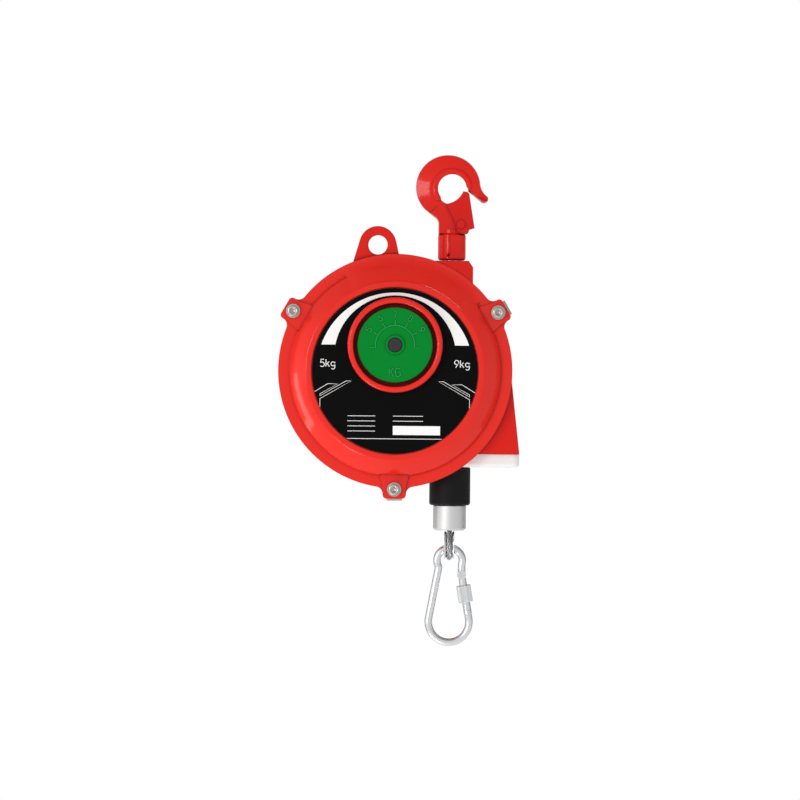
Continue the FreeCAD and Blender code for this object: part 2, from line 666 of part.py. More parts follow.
def build_plates():
    """Face plate, gear cover and rope guide."""
    plate = drum_body("face_plate")
    pad_y(plate, "plate", [circle(0, 0, S.plate_radius),
                           circle(0, S.dial_above, S.dial_outer + 0.2)],
          -S.plate_seat - S.plate_thick, -S.plate_seat)
    cover = drum_body("gear_cover")
    turn(cover, "disc", [(0, S.gear_face), (S.gear_outer, S.gear_face),
                         (S.gear_outer, S.cover_back - 1, 1), (S.gear_outer - 1, S.cover_back),
                         (0, S.cover_back)])
    hole = pocket_y(cover, "screw_hole", [circle(0, S.gear_inner + 2.2, 1.7)],
                    S.gear_face, S.cover_back)
    pattern(cover, "screw_holes", [hole], 3)

    guide = body("rope_guide")
    left, right = -S.box_left, S.box_right
    front, back = -S.flange_back, S.box_back
    inner = 0.3 + S.box_wall
    pad_z(guide, "foot", [[
        (left, front), (right - 5, front, 5), (right, front + 5), (right, back - 5, 5),
        (right - 5, back), (left, back)]], -S.guide_bottom, -S.box_bottom - 0.1)
    pad_z(guide, "plug", [[
        (left + inner, front + inner), (right - inner - 1, front + inner),
        (right - inner - 1, back - inner), (left + inner, back - inner)]],
        -S.box_bottom - 0.1, -S.guide_top)
    soften(guide, "foot_round", 3, lambda edge: isinstance(edge.Curve, Part.Line)
           and abs(edge.Length - (float(back) - float(front) - 10)) < 0.5
           and edge.BoundBox.ZMax < -float(S.guide_bottom) + 0.1)
    groove(guide, "funnel", [(0, 1 - S.guide_top), (7, 1 - S.guide_top), (7, -S.guide_top),
                             (3.2, -S.guide_top - 8), (3.2, 2 - S.guide_bottom),
                             (5, -S.guide_bottom), (5, -S.guide_bottom - 1),
                             (0, -S.guide_bottom - 1)], plane="XZ_Plane")


def build_fasteners():
    """Case screws with washers and clip nuts, and the small cover screws."""
    level = -S.flange_front - S.landing_rise
    seat, top = level - S.washer_thick, level - S.washer_thick - S.head_height
    screws = drum_body("case_screws")
    screw = turn(screws, "screw", [
        (0, -S.parting + 12), (S.screw_radius - 0.2, -S.parting + 12),
        (S.screw_radius - 0.2, seat), (S.head_radius, seat), (S.head_radius, top + 0.6, 0.6),
        (S.head_radius - 0.6, top), (0, top)], across=S.lug_circle)
    corner = S.socket_apothem / math.cos(math.pi / 6)
    hexagon = [(S.lug_circle + corner * math.cos(math.radians(60 * k)),
                corner * math.sin(math.radians(60 * k))) for k in range(6)]
    socket = pocket_y(screws, "socket", [hexagon], top, top + 2.6)
    point(screws, 90)
    pattern(screws, "three", [screw, socket], 3)

    washers = drum_body("screw_washers")
    washer = turn(washers, "washer", [
        (S.screw_radius + 0.2, level), (S.washer_radius, level),
        (S.washer_radius, seat), (S.screw_radius + 0.2, seat)], across=S.lug_circle)
    point(washers, 90)
    pattern(washers, "three", [washer], 3)

    clips = drum_body("clip_nuts")
    sheet, reach = S.clip_sheet, S.lug_reach + 0.1
    front, back = -S.parting + 0.05, -S.flange_back + 0.05
    clip = pad_x(clips, "clip", [[
        (front, 9 - S.lug_circle), (front, -reach - sheet + 1.2, 1.2),
        (front + 1.2, -reach - sheet), (back + sheet - 1.2, -reach - sheet, 1.2),
        (back + sheet, -reach - sheet + 1.2), (back + sheet, 9 - S.lug_circle),
        (back, 9 - S.lug_circle), (back, -reach), (front + sheet - 0.05, -reach),
        (front + sheet - 0.05, 9 - S.lug_circle)]], -S.clip_half, S.clip_half)
    tail = back + 5.5
    nut = pad_y(clips, "nut", [circle(0, -S.lug_circle, S.nut_radius)], back + sheet - 0.1, tail)
    hole = pocket_y(clips, "hole", [circle(0, -S.lug_circle, S.screw_radius)], front, tail)
    pattern(clips, "two", [clip, nut, hole], 2, angle=120, backward=True)

    plain = drum_body("lug_nut")
    pad_y(plain, "nut", [circle(0, -S.lug_circle, S.nut_radius),
                         circle(0, -S.lug_circle, S.screw_radius)], back, tail)
    point(plain, 120)

    small = drum_body("gear_cover_screws")
    screw = turn(small, "screw", [
        (0, S.gear_face - 7), (1.25, S.gear_face - 7), (1.25, S.cover_back),
        (3, S.cover_back), (3, S.cover_back + 1, 1.5), (1.8, S.cover_back + 2),
        (0, S.cover_back + 2)], across=S.gear_inner + 2.2)
    point(small, -90)
    pattern(small, "three", [screw], 3)


def point(host, degrees):
    """Turn a body about its Y axis: 90 brings what was drawn on +X to the bottom."""
    host.Placement = Placement(host.Placement.Base, Rotation(Vector(0, 1, 0), degrees))


# ---------------------------------------------------------------- drive inside the case


def wrap_places():
    """Radius and Y place of each rope turn on the drum."""
    count = 5
    growth = (S.drum_large - S.drum_small) / (count - 1)
    return [(S.drum_small + growth * turn_number, S.wrap_pitch * turn_number)
            for turn_number in range(count)]


def build_arbor_group():
    """Arbor with its key, nut and the dial pinion, and the bushes that carry it."""
    arbor = drum_body("arbor")
    core, seat = S.spring_core, S.arbor_radius
    turn(arbor, "shaft", [
        (0, -45.4), (2.5, -45.4), (2.5, -42.8), (4, -42.8), (4, -37.4), (8, -37.4), (8, -34.9),
        (core, -34.9), (core, -14.8), (seat, -14.8), (seat, 27.5), (8, 27.5), (8, 38.4),
        (7, 38.4), (7, 48.6), (5.8, 48.6), (5.8, 54.4), (5.2, 55), (0, 55)])
    pocket_y(arbor, "spring_notch", [[(core - 3, 0), (core + 2, 0), (core + 2, 2.4),
                                      (core - 3, 2.4)]], -34.5, -15.2)
    pocket_y(arbor, "key_slot", [[(-2, 5), (2, 5), (2, 8), (-2, 8)]], 39.5, 48.6)

    key = drum_body("wheel_key")
    pad_y(key, "key", [[(-1.95, 5.05), (1.95, 5.05), (1.95, 8.9), (-1.95, 8.9)]], 39.6, 48.4)

    nut = drum_body("arbor_nut")
    corner = 8 / math.cos(math.pi / 6)
    pad_y(nut, "nut", [[(corner * math.cos(math.radians(60 * k)),
                         corner * math.sin(math.radians(60 * k))) for k in range(6)],
                       circle(0, 0, 5.85)], 48.9, 53.6)

    for label, inner, outer, start, end, flange, flange_end in (
            ("front_bush", 4.05, 5.95, -42.4, -39, 7.6, -37.8),
            ("rear_bush", 8.06, 10.95, 37.9, 30, 13, 28.7)):
        bush = drum_body(label)
        turn(bush, "sleeve", [(inner, start), (outer, start), (outer, end), (flange, end),
                              (flange, flange_end), (inner, flange_end)])

    plain_feature("dial_pinion", gear_disc(10, S.gear_module, -45.4, -43.2, 2.52, 270),
                  -S.drum_left, 0, -S.drum_below)


def gear_disc(teeth, module, front, back, bore, first):
    """A small spur gear about the Y axis with one tooth at the angle first."""
    pitch = float(module) * teeth / 2.0
    tip, foot = pitch + 0.72 * float(module), pitch - 1.3 * float(module)
    half = math.pi * float(module) / 4.0 - 0.15
    slope = math.tan(math.radians(20))
    spots = []
    for tooth in range(teeth):
        middle = math.radians(first + 360.0 * tooth / teeth)
        for side, radius in ((-1, foot), (-1, tip), (1, tip), (1, foot)):
            lean = side * (half - (radius - pitch) * slope) / radius
            angle = middle + lean
            spots.append(Vector(radius * math.cos(angle), float(front), radius * math.sin(angle)))
    face = Part.Face(Part.makePolygon(spots + spots[:1]))
    disc = face.extrude(Vector(0, float(back) - float(front), 0))
    return disc.cut(rod(bore, (0, front - 1, 0), (0, back + 1, 0)))


def build_worm_drive():
    """Worm wheel on the arbor, and the worm shaft with its bush and hexagon end."""
    pitch, worm, module = float(S.wheel_pitch), float(S.worm_pitch), float(S.worm_module)
    axis, half_width = float(S.worm_axis), 4.5
    teeth, lead = int(2 * pitch / module), math.pi * module
    slope, tilt = math.tan(math.radians(20)), math.degrees(math.atan(module / 2.0 / worm))
    wheel = rod(pitch + 1.8, (0, axis - half_width, 0), (0, axis + half_width, 0), 7.05)
    for side in (-1, 1):
        dish = rod(24, (0, axis + side * half_width, 0), (0, axis + side * (half_width - 1.8), 0),
                   11.5)
        wheel = wheel.cut(dish)
    wheel = wheel.cut(Part.makeBox(4.1, 2 * half_width + 2, 5,
                                   Vector(-2.05, axis - half_width - 1, 4.1)))
    flats = [(-2.7 * slope - lead / 4 - 0.15, -pitch - 2.7), (lead / 4 + 0.15 + 2.7 * slope,
                                                            -pitch - 2.7),
             (lead / 4 + 0.15 - 2.3 * slope, 2.3 - pitch), (2.3 * slope - lead / 4 - 0.15,
                                                           2.3 - pitch)]
    spots = [Vector(x, -9, z) for x, z in flats]
    gap = Part.Face(Part.makePolygon(spots + spots[:1])).extrude(Vector(0, 18, 0))
    gap.rotate(Vector(), Vector(0, 0, 1), tilt)
    gap.translate(Vector(0, axis, 0))
    gaps = []
    for number in range(teeth):
        turned = gap.copy()
        turned.rotate(Vector(0, axis, 0), Vector(0, 1, 0), 360.0 * number / teeth)
        gaps.append(turned)
    wheel = wheel.cut(gaps)
    plain_feature("worm_wheel", wheel, -S.drum_left, 0, -S.drum_below)

    turns = 5
    helix = Part.makeHelix(lead, lead * turns, worm, 0)
    half = lead / 4 - 0.15
    flank = [(worm - 2.7, half + 2.7 * slope), (worm + 1.8, half - 1.8 * slope)]
    spots = ([Vector(r, 0, -w) for r, w in flank] + [Vector(r, 0, w) for r, w in flank[::-1]])
    thread = Part.Wire(helix.Edges).makePipeShell([Part.makePolygon(spots + spots[:1])],
                                                  True, True)
    thread.translate(Vector(0, 0, -lead * turns / 2))
    # local Z runs along +X and local X points up to the wheel
    thread.Placement = Placement(Vector(), Rotation(Vector(0, 0, 1), Vector(0, -1, 0),
                                                    Vector(1, 0, 0), "ZXY")) * thread.Placement
    core = rod(worm - 2.4, (-19, 0, 0), (19, 0, 0))
    shaft = core.fuse(thread)
    if turns % 2:
        shaft.rotate(Vector(), Vector(1, 0, 0), 180)
    hexagon = [Vector(-64, 5.77 * math.cos(math.radians(60 * k)),
                      5.77 * math.sin(math.radians(60 * k))) for k in range(6)]
    key_end = Part.Face(Part.makePolygon(hexagon + hexagon[:1])).extrude(Vector(17, 0, 0))
    shaft = shaft.fuse([rod(7, (-48.4, 0, 0), (-18.5, 0, 0)), rod(7.9, (18.5, 0, 0), (30.5, 0, 0)),
                        key_end])
    plain_feature("worm_shaft", shaft, -S.drum_left, S.worm_axis,
                  -S.drum_below - S.wheel_pitch - S.worm_pitch)

    bush = body("worm_bush", -S.drum_left, S.worm_axis,
                -S.drum_below - S.wheel_pitch - S.worm_pitch)
    pad_x(bush, "sleeve", [circle(0, 0, 10.55), circle(0, 0, 7.06)], -46, -32)
    pad_x(bush, "collar", [circle(0, 0, 9.6), circle(0, 0, 7.06)], -48, -46)


def build_drum_group():
    """Rope drum with wire rope, spring barrel, spring, bearings and screws."""
    drum = drum_body("rope_drum")
    steps = []
    for radius, level in wrap_places():
        steps += [(radius - 0.52, level - 2.05, -2.1), (radius - 0.52, level + 2.05)]
    turn(drum, "cone", [
        (13, 0), (16, 0), (16, -9.2), (14, -9.2), (14, -11), (50, -11), (50, -4.5),
        (46.5, -3.2)] + steps + [
        (S.drum_large + 5, 24.4), (S.drum_large + 5, 27), (S.drum_large, 27), (56.5, 24),
        (38, 3), (36, -5), (19.5, -5), (19.5, 25.4), (16, 25.4), (16, 16), (13, 16)])
    hole = pocket_y(drum, "screw_hole", [circle(30, 0, 2.0)], -11, -4.9)
    window = pocket_y(drum, "window", [circle(0, 27.5, 5)], -11, -4.9)
    pattern(drum, "holes", [hole, window], 4)

    barrel = drum_body("spring_barrel")
    turn(barrel, "cup", [
        (13.5, -14), (61.3, -14), (61.3, -35), (S.barrel_radius, -35), (S.barrel_radius, -12.5),
        (S.barrel_radius - 1.5, -11.05), (13.5, -11.05)])
    hole = pocket_y(barrel, "screw_hole", [circle(30, 0, 2.1)], -14, -11)
    pattern(barrel, "holes", [hole], 4)
    groove(barrel, "countersink", [(0, -14.1), (4.3, -14.1), (2.05, -11.9), (0, -11.9)],
           across=30)

    cover = drum_body("barrel_cover")
    turn(cover, "disc", [(9, -36.4), (30, -36.4), (32, -36.9), (58, -36.9), (60, -36.4),
                         (S.barrel_radius, -36.4), (S.barrel_radius, -35.05), (60, -35.05),
                         (58, -35.6), (32, -35.6), (30, -35.05), (9, -35.05)])

    screws = drum_body("barrel_screws")
    screw = turn(screws, "screw", [(0, -14), (2.05, -14), (2.05, -10.6), (1.95, -10.6),
                                   (1.95, -5.4), (0, -5.4)], across=30)
    pattern(screws, "four", [screw], 4)

    bearings = drum_body("drum_bearings")
    for name, start in (("front_race", -9.1), ("rear_race", 16.1)):
        turn(bearings, name, [
            (7.55, start), (10, start), (10, start + 1), (13.4, start + 1), (13.4, start),
            (15.95, start), (15.95, start + 9), (13.4, start + 9), (13.4, start + 8),
            (10, start + 8), (10, start + 9), (7.55, start + 9)])

    plain_feature("main_spring", spiral_spring(), -S.drum_left, 0, -S.drum_below)
    plain_feature("rope_wraps", rope_turns(), 0, 0, 0)


def spiral_spring():
    """A flat strip wound in half circles whose centres alternate, so that it stays smooth."""
    pitch, strip = float(S.spring_pitch), float(S.spring_strip)
    front, width = -34.2, 18.4
    radius = float(S.spring_core) + 0.4 + strip / 2
    pieces = []
    start_side = 1
    while radius + pitch / 2 + strip / 2 < float(S.spring_outer):
        centre = 0.0 if start_side > 0 else pitch / 2
        band = rod(radius + strip / 2, (centre, front, 0), (centre, front + width, 0),
                   radius - strip / 2)
        reach = radius + 5
        half = Part.makeBox(2 * reach, width + 2, reach,
                            Vector(centre - reach, front - 1, 0 if start_side > 0 else -reach))
        pieces.append(band.common(half))
        radius += pitch / 2
        start_side = -start_side
    return pieces[0].fuse(pieces[1:]).removeSplitter()


def rope_turns():
    """The turns of rope on the drum, the first with the short straight that leaves it."""
    places = wrap_places()
    first = Trail((1, 0, 0), (0, 0, 1), (0, -float(S.drum_below) - 20), 90)
    first.run(20)
    first.bend(float(S.drum_small), 322)
    solids = [first.tube(float(S.rope_radius))]
    centre = Vector(-float(S.drum_left), 0, -float(S.drum_below))
    for radius, level in places[1:]:
        solids.append(Part.makeTorus(float(radius), float(S.rope_radius),
                                     centre + Vector(0, float(level), 0), Vector(0, 1, 0)))
    return Part.makeCompound(solids)


def build_dial():
    """Dial disc with its internal gear ring, and the hub that it turns on."""
    at = (-S.drum_left, 0, S.dial_above - S.drum_below)
    disc = body("dial_disc", *at)
    face = -48.7
    turn(disc, "disc", [
        (2.6, -45.7), (2.6, face + 0.6), (5.8, face + 0.6), (5.8, face - 0.9),
        (7.4, face - 0.9), (7.4, face), (S.dial_disc_radius - 0.4, face),
        (S.dial_disc_radius, face + 0.4), (S.dial_disc_radius, -45.7)])
    pitch = S.gear_module * 30
    pad_y(disc, "gear_ring", [circle(0, 0, pitch + 3.4), circle(0, 0, pitch + 0.95)],
          -45.8, -43.2)
    half = math.pi * float(S.gear_module) / 4 - 0.15
    slope = math.tan(math.radians(20))
    tip, foot = half - 0.65 * slope, half + 1.1 * slope
    tooth = pad_y(disc, "tooth", [[(-tip, 0.65 - pitch), (-foot, -1.1 - pitch),
                                   (foot, -1.1 - pitch), (tip, 0.65 - pitch)]], -45.8, -43.2)
    pattern(disc, "sixty_teeth", [tooth], 60)
    point(disc, 3)

    hub = body("dial_hub", *at)
    turn(hub, "hub", [(0, -S.web_back), (2.45, -S.web_back), (2.45, face + 0.4),
                      (5.6, face + 0.4), (5.6, face - 0.4), (5.0, face - 1), (0, face - 1)])


# ---------------------------------------------------------------- top hook and latch


def build_top_hook():
    """Forged swivel hook: eye, tapered flanks, tip, neck and round barrel."""
    hook = body("top_hook")
    eye, outer = S.eye_radius, S.hook_radius
    centre = (-3.2, 1.1)
    outline = [
        (12.2, -1.8), (22.9, -10.7, 3.4), (27.6, -6.0, -14),
        (outer * 0.996 + centre[0], outer * 0.087 + centre[1], outer, True),
        (centre[0] - outer * 0.72, centre[1] - outer * 0.694), (-13.6, -22.6, -6),
        (-10.6, -28.5), (-S.barrel_hook + 0.2, -36), (S.barrel_hook - 0.2, -36),
        (10.2, -31), (6.6, -22.5, 14), (4.6, -11.4, -eye, True)]
    # flanks taper away from the middle plane on both sides
    pad_y(hook, "front_half", [outline], -S.hook_half, 0, taper=-6, rearward=False)
    pad_y(hook, "rear_half", [outline], 0, S.hook_half, taper=-6)
    # behind the bead round the eye both faces slope down to the outside
    bead, half, wide = S.bead_radius, S.hook_half, 14
    for name, side in (("front_slope", -1), ("rear_slope", 1)):
        slope = [(bead, side * (half + 0.05)), (bead + wide, side * (half - 4.2)),
                 (bead + wide, side * (half + 0.05))]
        groove(hook, name, slope[::-side], angle=250, spin=-230)
    turn(hook, "barrel", [
        (0, -32), (S.barrel_hook - 2.4, -32), (S.barrel_hook - 2.4, -34.6),
        (S.barrel_hook, -36.6),
        (S.barrel_hook, -S.barrel_bottom + 1.2), (S.barrel_hook - 1.2, -S.barrel_bottom),
        (0, -S.barrel_bottom)], plane="XZ_Plane")
    pocket_z(hook, "bolt_bore", [circle(0, 0, S.bolt_radius)], -40, -S.barrel_bottom)
    pocket_y(hook, "pin_hole", [circle(-2.6, -52.4, 1.6)], -S.barrel_hook - 1,
             S.barrel_hook + 1)
    pocket_y(hook, "latch_hole", [circle(S.latch_x, -S.latch_z, 2.0)], -S.hook_half - 2,
             S.hook_half + 2)
    pocket_y(hook, "spring_slot", [[(2.4, -33), (12.5, -33), (12.5, -19), (2.4, -22)]], -2.6, 2.6)
    return hook


def build_hook_parts():
    """Suspension bolt, its washer and roll pin, and the latch with pin and spring."""
    bolt = body("suspension_bolt")
    head = S.boss_top + 10 + 1.6
    turn(bolt, "bolt", [(0, -40.2), (S.bolt_radius - 1, -40.2), (S.bolt_radius - 0.02, -41.2),
                        (S.bolt_radius - 0.02, -head), (11.5, -head), (11.5, -head - 6.5),
                        (10.3, -head - 7.4), (0, -head - 7.4)], plane="XZ_Plane")
    pocket_y(bolt, "pin_hole", [circle(-2.6, -52.4, 1.6)], -12, 12)
    washer = body("thrust_washer")
    turn(washer, "ring", [(S.bolt_radius + 0.3, 0.05 - head), (12.4, 0.05 - head),
                          (12.4, 1.45 - head), (S.bolt_radius + 0.3, 1.45 - head)],
         plane="XZ_Plane")
    pin = body("hook_roll_pin", -2.6, 0, -52.4)
    reach = root(S.barrel_hook * S.barrel_hook - 6.8)
    pad_y(pin, "tube", [circle(0, 0, 1.58), circle(0, 0, 0.8)], -reach + 0.4, reach - 0.4)

    latch = body("safety_latch")
    half, sheet = S.hook_half + 0.5, S.latch_sheet
    px, pz = S.latch_x, -S.latch_z
    cheek = [(-4.4, -12.0), (2.3, -26.2), (3.4, -31.0, 6), (12.6, -34.3), (13.6, -31.6),
             (17.6, -30.6), (13.3, -3.9), (11.9, -2.7), (8.6, -2.2, -16)]
    pad_y(latch, "channel", [cheek], -half - sheet, half + sheet)
    pocket_y(latch, "inside", [[(-8, -40), (11.5, -40), (17.2 - sheet, -30.8),
                                (12.9 - sheet, -3.9), (10.9, 2), (-8, 2)]], -half, half)
    pocket_y(latch, "pivot_hole", [circle(px, pz, 2.1)], -half - sheet, half + sheet)
    soften(latch, "bends", 1.1, lambda edge: isinstance(edge.Curve, Part.Line)
           and edge.Length > 20 and edge.BoundBox.XMin > 12.9
           and abs(abs(edge.BoundBox.YMin) - float(half + sheet)) < 0.01)

    rivet = body("latch_pin", S.latch_x, 0, -S.latch_z)
    pad_y(rivet, "shank", [circle(0, 0, 1.98)], -half - sheet - 0.1, half + sheet + 0.1)
    for name, front in (("front_head", -half - sheet - 1.3), ("rear_head", half + sheet + 0.1)):
        pad_y(rivet, name, [circle(0, 0, 3.3)], front, front + 1.2)

    coil = rod(4.2, (0, -2.0, 0), (0, 2.0, 0), 2.35)
    leg = Trail((1, 0, 0), (0, 0, 1), (3.6, -0.5), 72)
    leg.run(7.0)
    spring = coil.fuse(leg.tube(0.5))
    plain_feature("latch_spring", spring, S.latch_x, 0, -S.latch_z)


# ---------------------------------------------------------------- rope end


def build_line():
    """Free rope run, bumper, ferrule, rope eye and thimble."""
    rope = S.rope_radius
    run = body("rope_run")
    pad_z(run, "run", [circle(0, 0, rope)], -S.guide_bottom - 0.3, -S.drum_below - 20.05)

    bumper = body("bumper")
    top, low, corner = -S.guide_bottom - 0.3, -S.bumper_bottom, S.bumper_corner
    turn(bumper, "rubber", [
        (rope + 0.6, top), (S.bumper_radius - 1.2, top, -1.2), (S.bumper_radius, top - 1.2),
        (S.bumper_radius, low + corner, corner * -1), (S.bumper_radius - corner, low),
        (rope + 0.6, low)],
         plane="XZ_Plane")

    ferrule = body("ferrule")
    top, low = -S.bumper_bottom - 0.1, -S.ferrule_bottom
    turn(ferrule, "sleeve", [
        (0, top), (S.ferrule_radius - 0.5, top), (S.ferrule_radius, top - 0.5),
        (S.ferrule_radius, low + 1.6), (S.ferrule_radius - 1.6, low), (0, low)],
         plane="XZ_Plane")
    pocket_z(ferrule, "rope_hole", [circle(0, 0, rope + 0.1)], top, low + 10)
    wide = S.rope_radius + 0.12
    for name, side, depth in (("eye_slot", 2.6, 12), ("slot_mouth", 4.7, 3.8)):
        pocket_z(ferrule, name, [[(-wide, -side, wide * 1.01), (wide, -side),
                                  (wide, side, wide * 1.01), (-wide, side)]], low + depth, low)

    straight = rod(float(rope), (0, 0, -float(S.guide_bottom) - 0.35),
                   (0, 0, -float(S.ferrule_bottom) + 10.5))
    eye = eye_trail().tube(float(rope))
    plain_feature("rope_eye", straight.fuse(eye))

    thimble = body("thimble", 0, 0, -S.thimble_z)
    half, path = S.thimble_half, S.thimble_rope
    # turned about X: the outline is drawn as (X, radius)
    profile = sketch(thimble, "ring_outline", "XZ_Plane", [[
        (-half, path - 2.6), (-0.8, path - 4.2), (0.8, path - 4.2),
        (half, path - 2.6), (half, path + 0.7), (half - 0.7, path + 0.7),
        (rope + 0.15, path - 0.2, -(rope + 0.16)), (-rope - 0.15, path - 0.2),
        (0.7 - half, path + 0.7), (-half, path + 0.7)]])
    settings = {"ReferenceAxis": (profile, ["H_Axis"]), "Angle": 360}
    sweep_feature(thimble, "PartDesign::Revolution", "ring", profile, True, settings, {})


def eye_trail():
    """Path of the rope round the thimble, in the Y-Z plane, both ends up in the ferrule."""
    path, start_z = float(S.thimble_rope), 3.5 - float(S.ferrule_bottom)
    side, neck = 2.2, 5.0
    trail = Trail((0, 1, 0), (0, 0, 1), (side, start_z + 8), -90)
    # a neck bend outwards, a straight that touches the thimble circle, and the circle
    gap = (-side - neck, -float(S.thimble_z) - start_z)
    apart = math.hypot(*gap)
    lean = math.degrees(math.asin((path + neck) / apart))
    turn_out = math.degrees(math.atan2(gap[1], gap[0])) + lean + 90
    straight = math.sqrt(apart ** 2 - (path + neck) ** 2)
    trail.run(8)
    trail.bend(neck, turn_out)
    trail.run(straight)
    trail.bend(path, -(180 + 2 * turn_out))
    trail.run(straight)
    trail.bend(neck, turn_out)
    trail.run(8)
    return trail


# ---------------------------------------------------------------- snap hook


def snap_shape():
    """Angles and lengths of the snap hook, from its two bows and its hinge."""
    middle, top = float(S.snap_top_x), float(S.snap_top_bend)
    top_z, low, low_z = -float(S.snap_top_z), float(S.snap_low_bend), -float(S.snap_low_z)
    pinch, right, left = 3.2, 15.0, 25.0
    # the right side rises straight from the hinge into the pinch below the bow
    over = math.radians(-right)
    hinge = (middle + (top + pinch) * math.cos(over) - pinch, -float(S.hinge_z))
    rise = top_z + (top + pinch) * math.sin(over) - hinge[1]
    # the left side leaves the bow through a pinch and runs on to the lower bow
    end = math.radians(180 + left)
    centre = (middle + (top + pinch) * math.cos(end), top_z + (top + pinch) * math.sin(end))
    gap = (-centre[0], low_z - centre[1])
    apart = math.hypot(*gap)
    heading = (math.degrees(math.atan2(gap[1], gap[0]))
               - math.degrees(math.asin((pinch + low) / apart)))
    reach = (hinge[0], hinge[1] - low_z)
    far = math.hypot(*reach)
    gate_angle = (math.degrees(math.atan2(reach[1], reach[0]))
                  - math.degrees(math.acos(low / far)))
    return {"pinch": pinch, "right": right, "bow": 180 + right + left, "hinge": hinge,
            "rise": rise, "turn_in": heading + 90 - left, "heading": heading,
            "leg": math.sqrt(apart ** 2 - (pinch + low) ** 2),
            "gate_heading": gate_angle + 90, "gate_length": math.sqrt(far ** 2 - low ** 2)}


def build_snap_hook():
    """Pear-shaped bar, hinge pin, gate and screw sleeve."""
    form = snap_shape()
    bar, knuckle = float(S.snap_wire), float(S.hinge_radius)
    hinge, nose, pin_radius = form["hinge"], 3.0, 1.25
    tongue, cheek, play = 1.4, 3.2, 0.35

    def across(radius, near, far):
        return rod(radius, (hinge[0], near, hinge[1]), (hinge[0], far, hinge[1]))

    trail = Trail((1, 0, 0), (0, 0, 1), hinge, 90)
    trail.run(form["rise"])
    trail.bend(form["pinch"], -form["right"])
    trail.bend(float(S.snap_top_bend), form["bow"])
    trail.bend(form["pinch"], form["turn_in"])
    trail.run(form["leg"])
    trail.bend(float(S.snap_low_bend), form["gate_heading"] - form["heading"])
    trail.run(nose)
    hook = trail.tube(bar)
    # the bar ends in a thin eye between the two cheeks of the gate's fork
    for side in (-1, 1):
        hook = hook.cut(across(knuckle + play, side * tongue, side * 8))
    hook = hook.fuse(across(knuckle, -tongue, tongue)).cut(across(pin_radius + 0.03, -5, 5))
    plain_feature("snap_hook", hook)

    pin = body("gate_pin", hinge[0], 0, hinge[1])
    pad_y(pin, "pin", [circle(0, 0, pin_radius)], -cheek - 0.1, cheek + 0.1)

    down = math.radians(form["gate_heading"] + 180)
    along = (math.cos(down), math.sin(down))

    def on_gate(distance):
        return (hinge[0] + distance * along[0], 0, hinge[1] + distance * along[1])

    end = form["gate_length"] - nose - 0.35
    gate = rod(bar, on_gate(knuckle + 1), on_gate(end))
    neck = rod(bar, on_gate(0), on_gate(knuckle + 2))
    gate = gate.fuse([across(knuckle, -cheek, cheek), neck])
    gate = gate.fuse(rod(bar + 0.15, on_gate(22), on_gate(end - 0.4)))
    gate = gate.cut([across(knuckle + play, -tongue - 0.2, tongue + 0.2),
                     across(pin_radius + 0.05, -5, 5)])
    plain_feature("gate", gate)

    first, outside = float(S.sleeve_start), float(S.sleeve_radius)
    sleeve = rod(outside, on_gate(first), on_gate(first + float(S.sleeve_length)), bar + 0.35)
    sleeve = sleeve.makeChamfer(0.6, [edge for edge in sleeve.Edges
                                      if isinstance(edge.Curve, Part.Circle)
                                      and abs(edge.Curve.Radius - outside) < 0.01])
    plain_feature("screw_sleeve", sleeve)


def check_and_export():
    """Stop on any failed object or shape, then write one file for each node."""
    DOC.recompute()
    failed = [item.Name for item in DOC.Objects
              if "Invalid" in item.State or "Error" in item.State]
    broken = [item.Label for item in NODES if item.Shape.isNull() or not item.Shape.isValid()]
    if failed or broken:
        raise RuntimeError("failed: %s, broken: %s" % (failed, broken))
    os.makedirs("parts", exist_ok=True)
    for item in NODES:
        item.Shape.exportStep(os.path.join("parts", item.Label + ".step"))
    print("%d nodes" % len(NODES))


build_front_cover()
build_rear_case()
build_plates()
build_fasteners()
build_arbor_group()
build_worm_drive()
build_drum_group()
build_dial()
build_top_hook()
build_hook_parts()
build_line()
build_snap_hook()
check_and_export()
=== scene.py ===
"""Looks of a spring balancer for hanging tools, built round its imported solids.

Metres, +Z up, +X to the right seen from the dial side, the dial faces -Y.
"""
from __future__ import annotations

import json
import logging
from dataclasses import dataclass, replace
from enum import Enum
from math import asin, atan2, cos, degrees, hypot, pi, radians, sin, sqrt, tau
from typing import Any, Sequence

import bmesh
import bpy
from bmesh.types import BMesh
from bpy.types import Material, Mesh, Node, NodeSocket, NodeTree, Object
from mathutils import Matrix, Quaternion, Vector

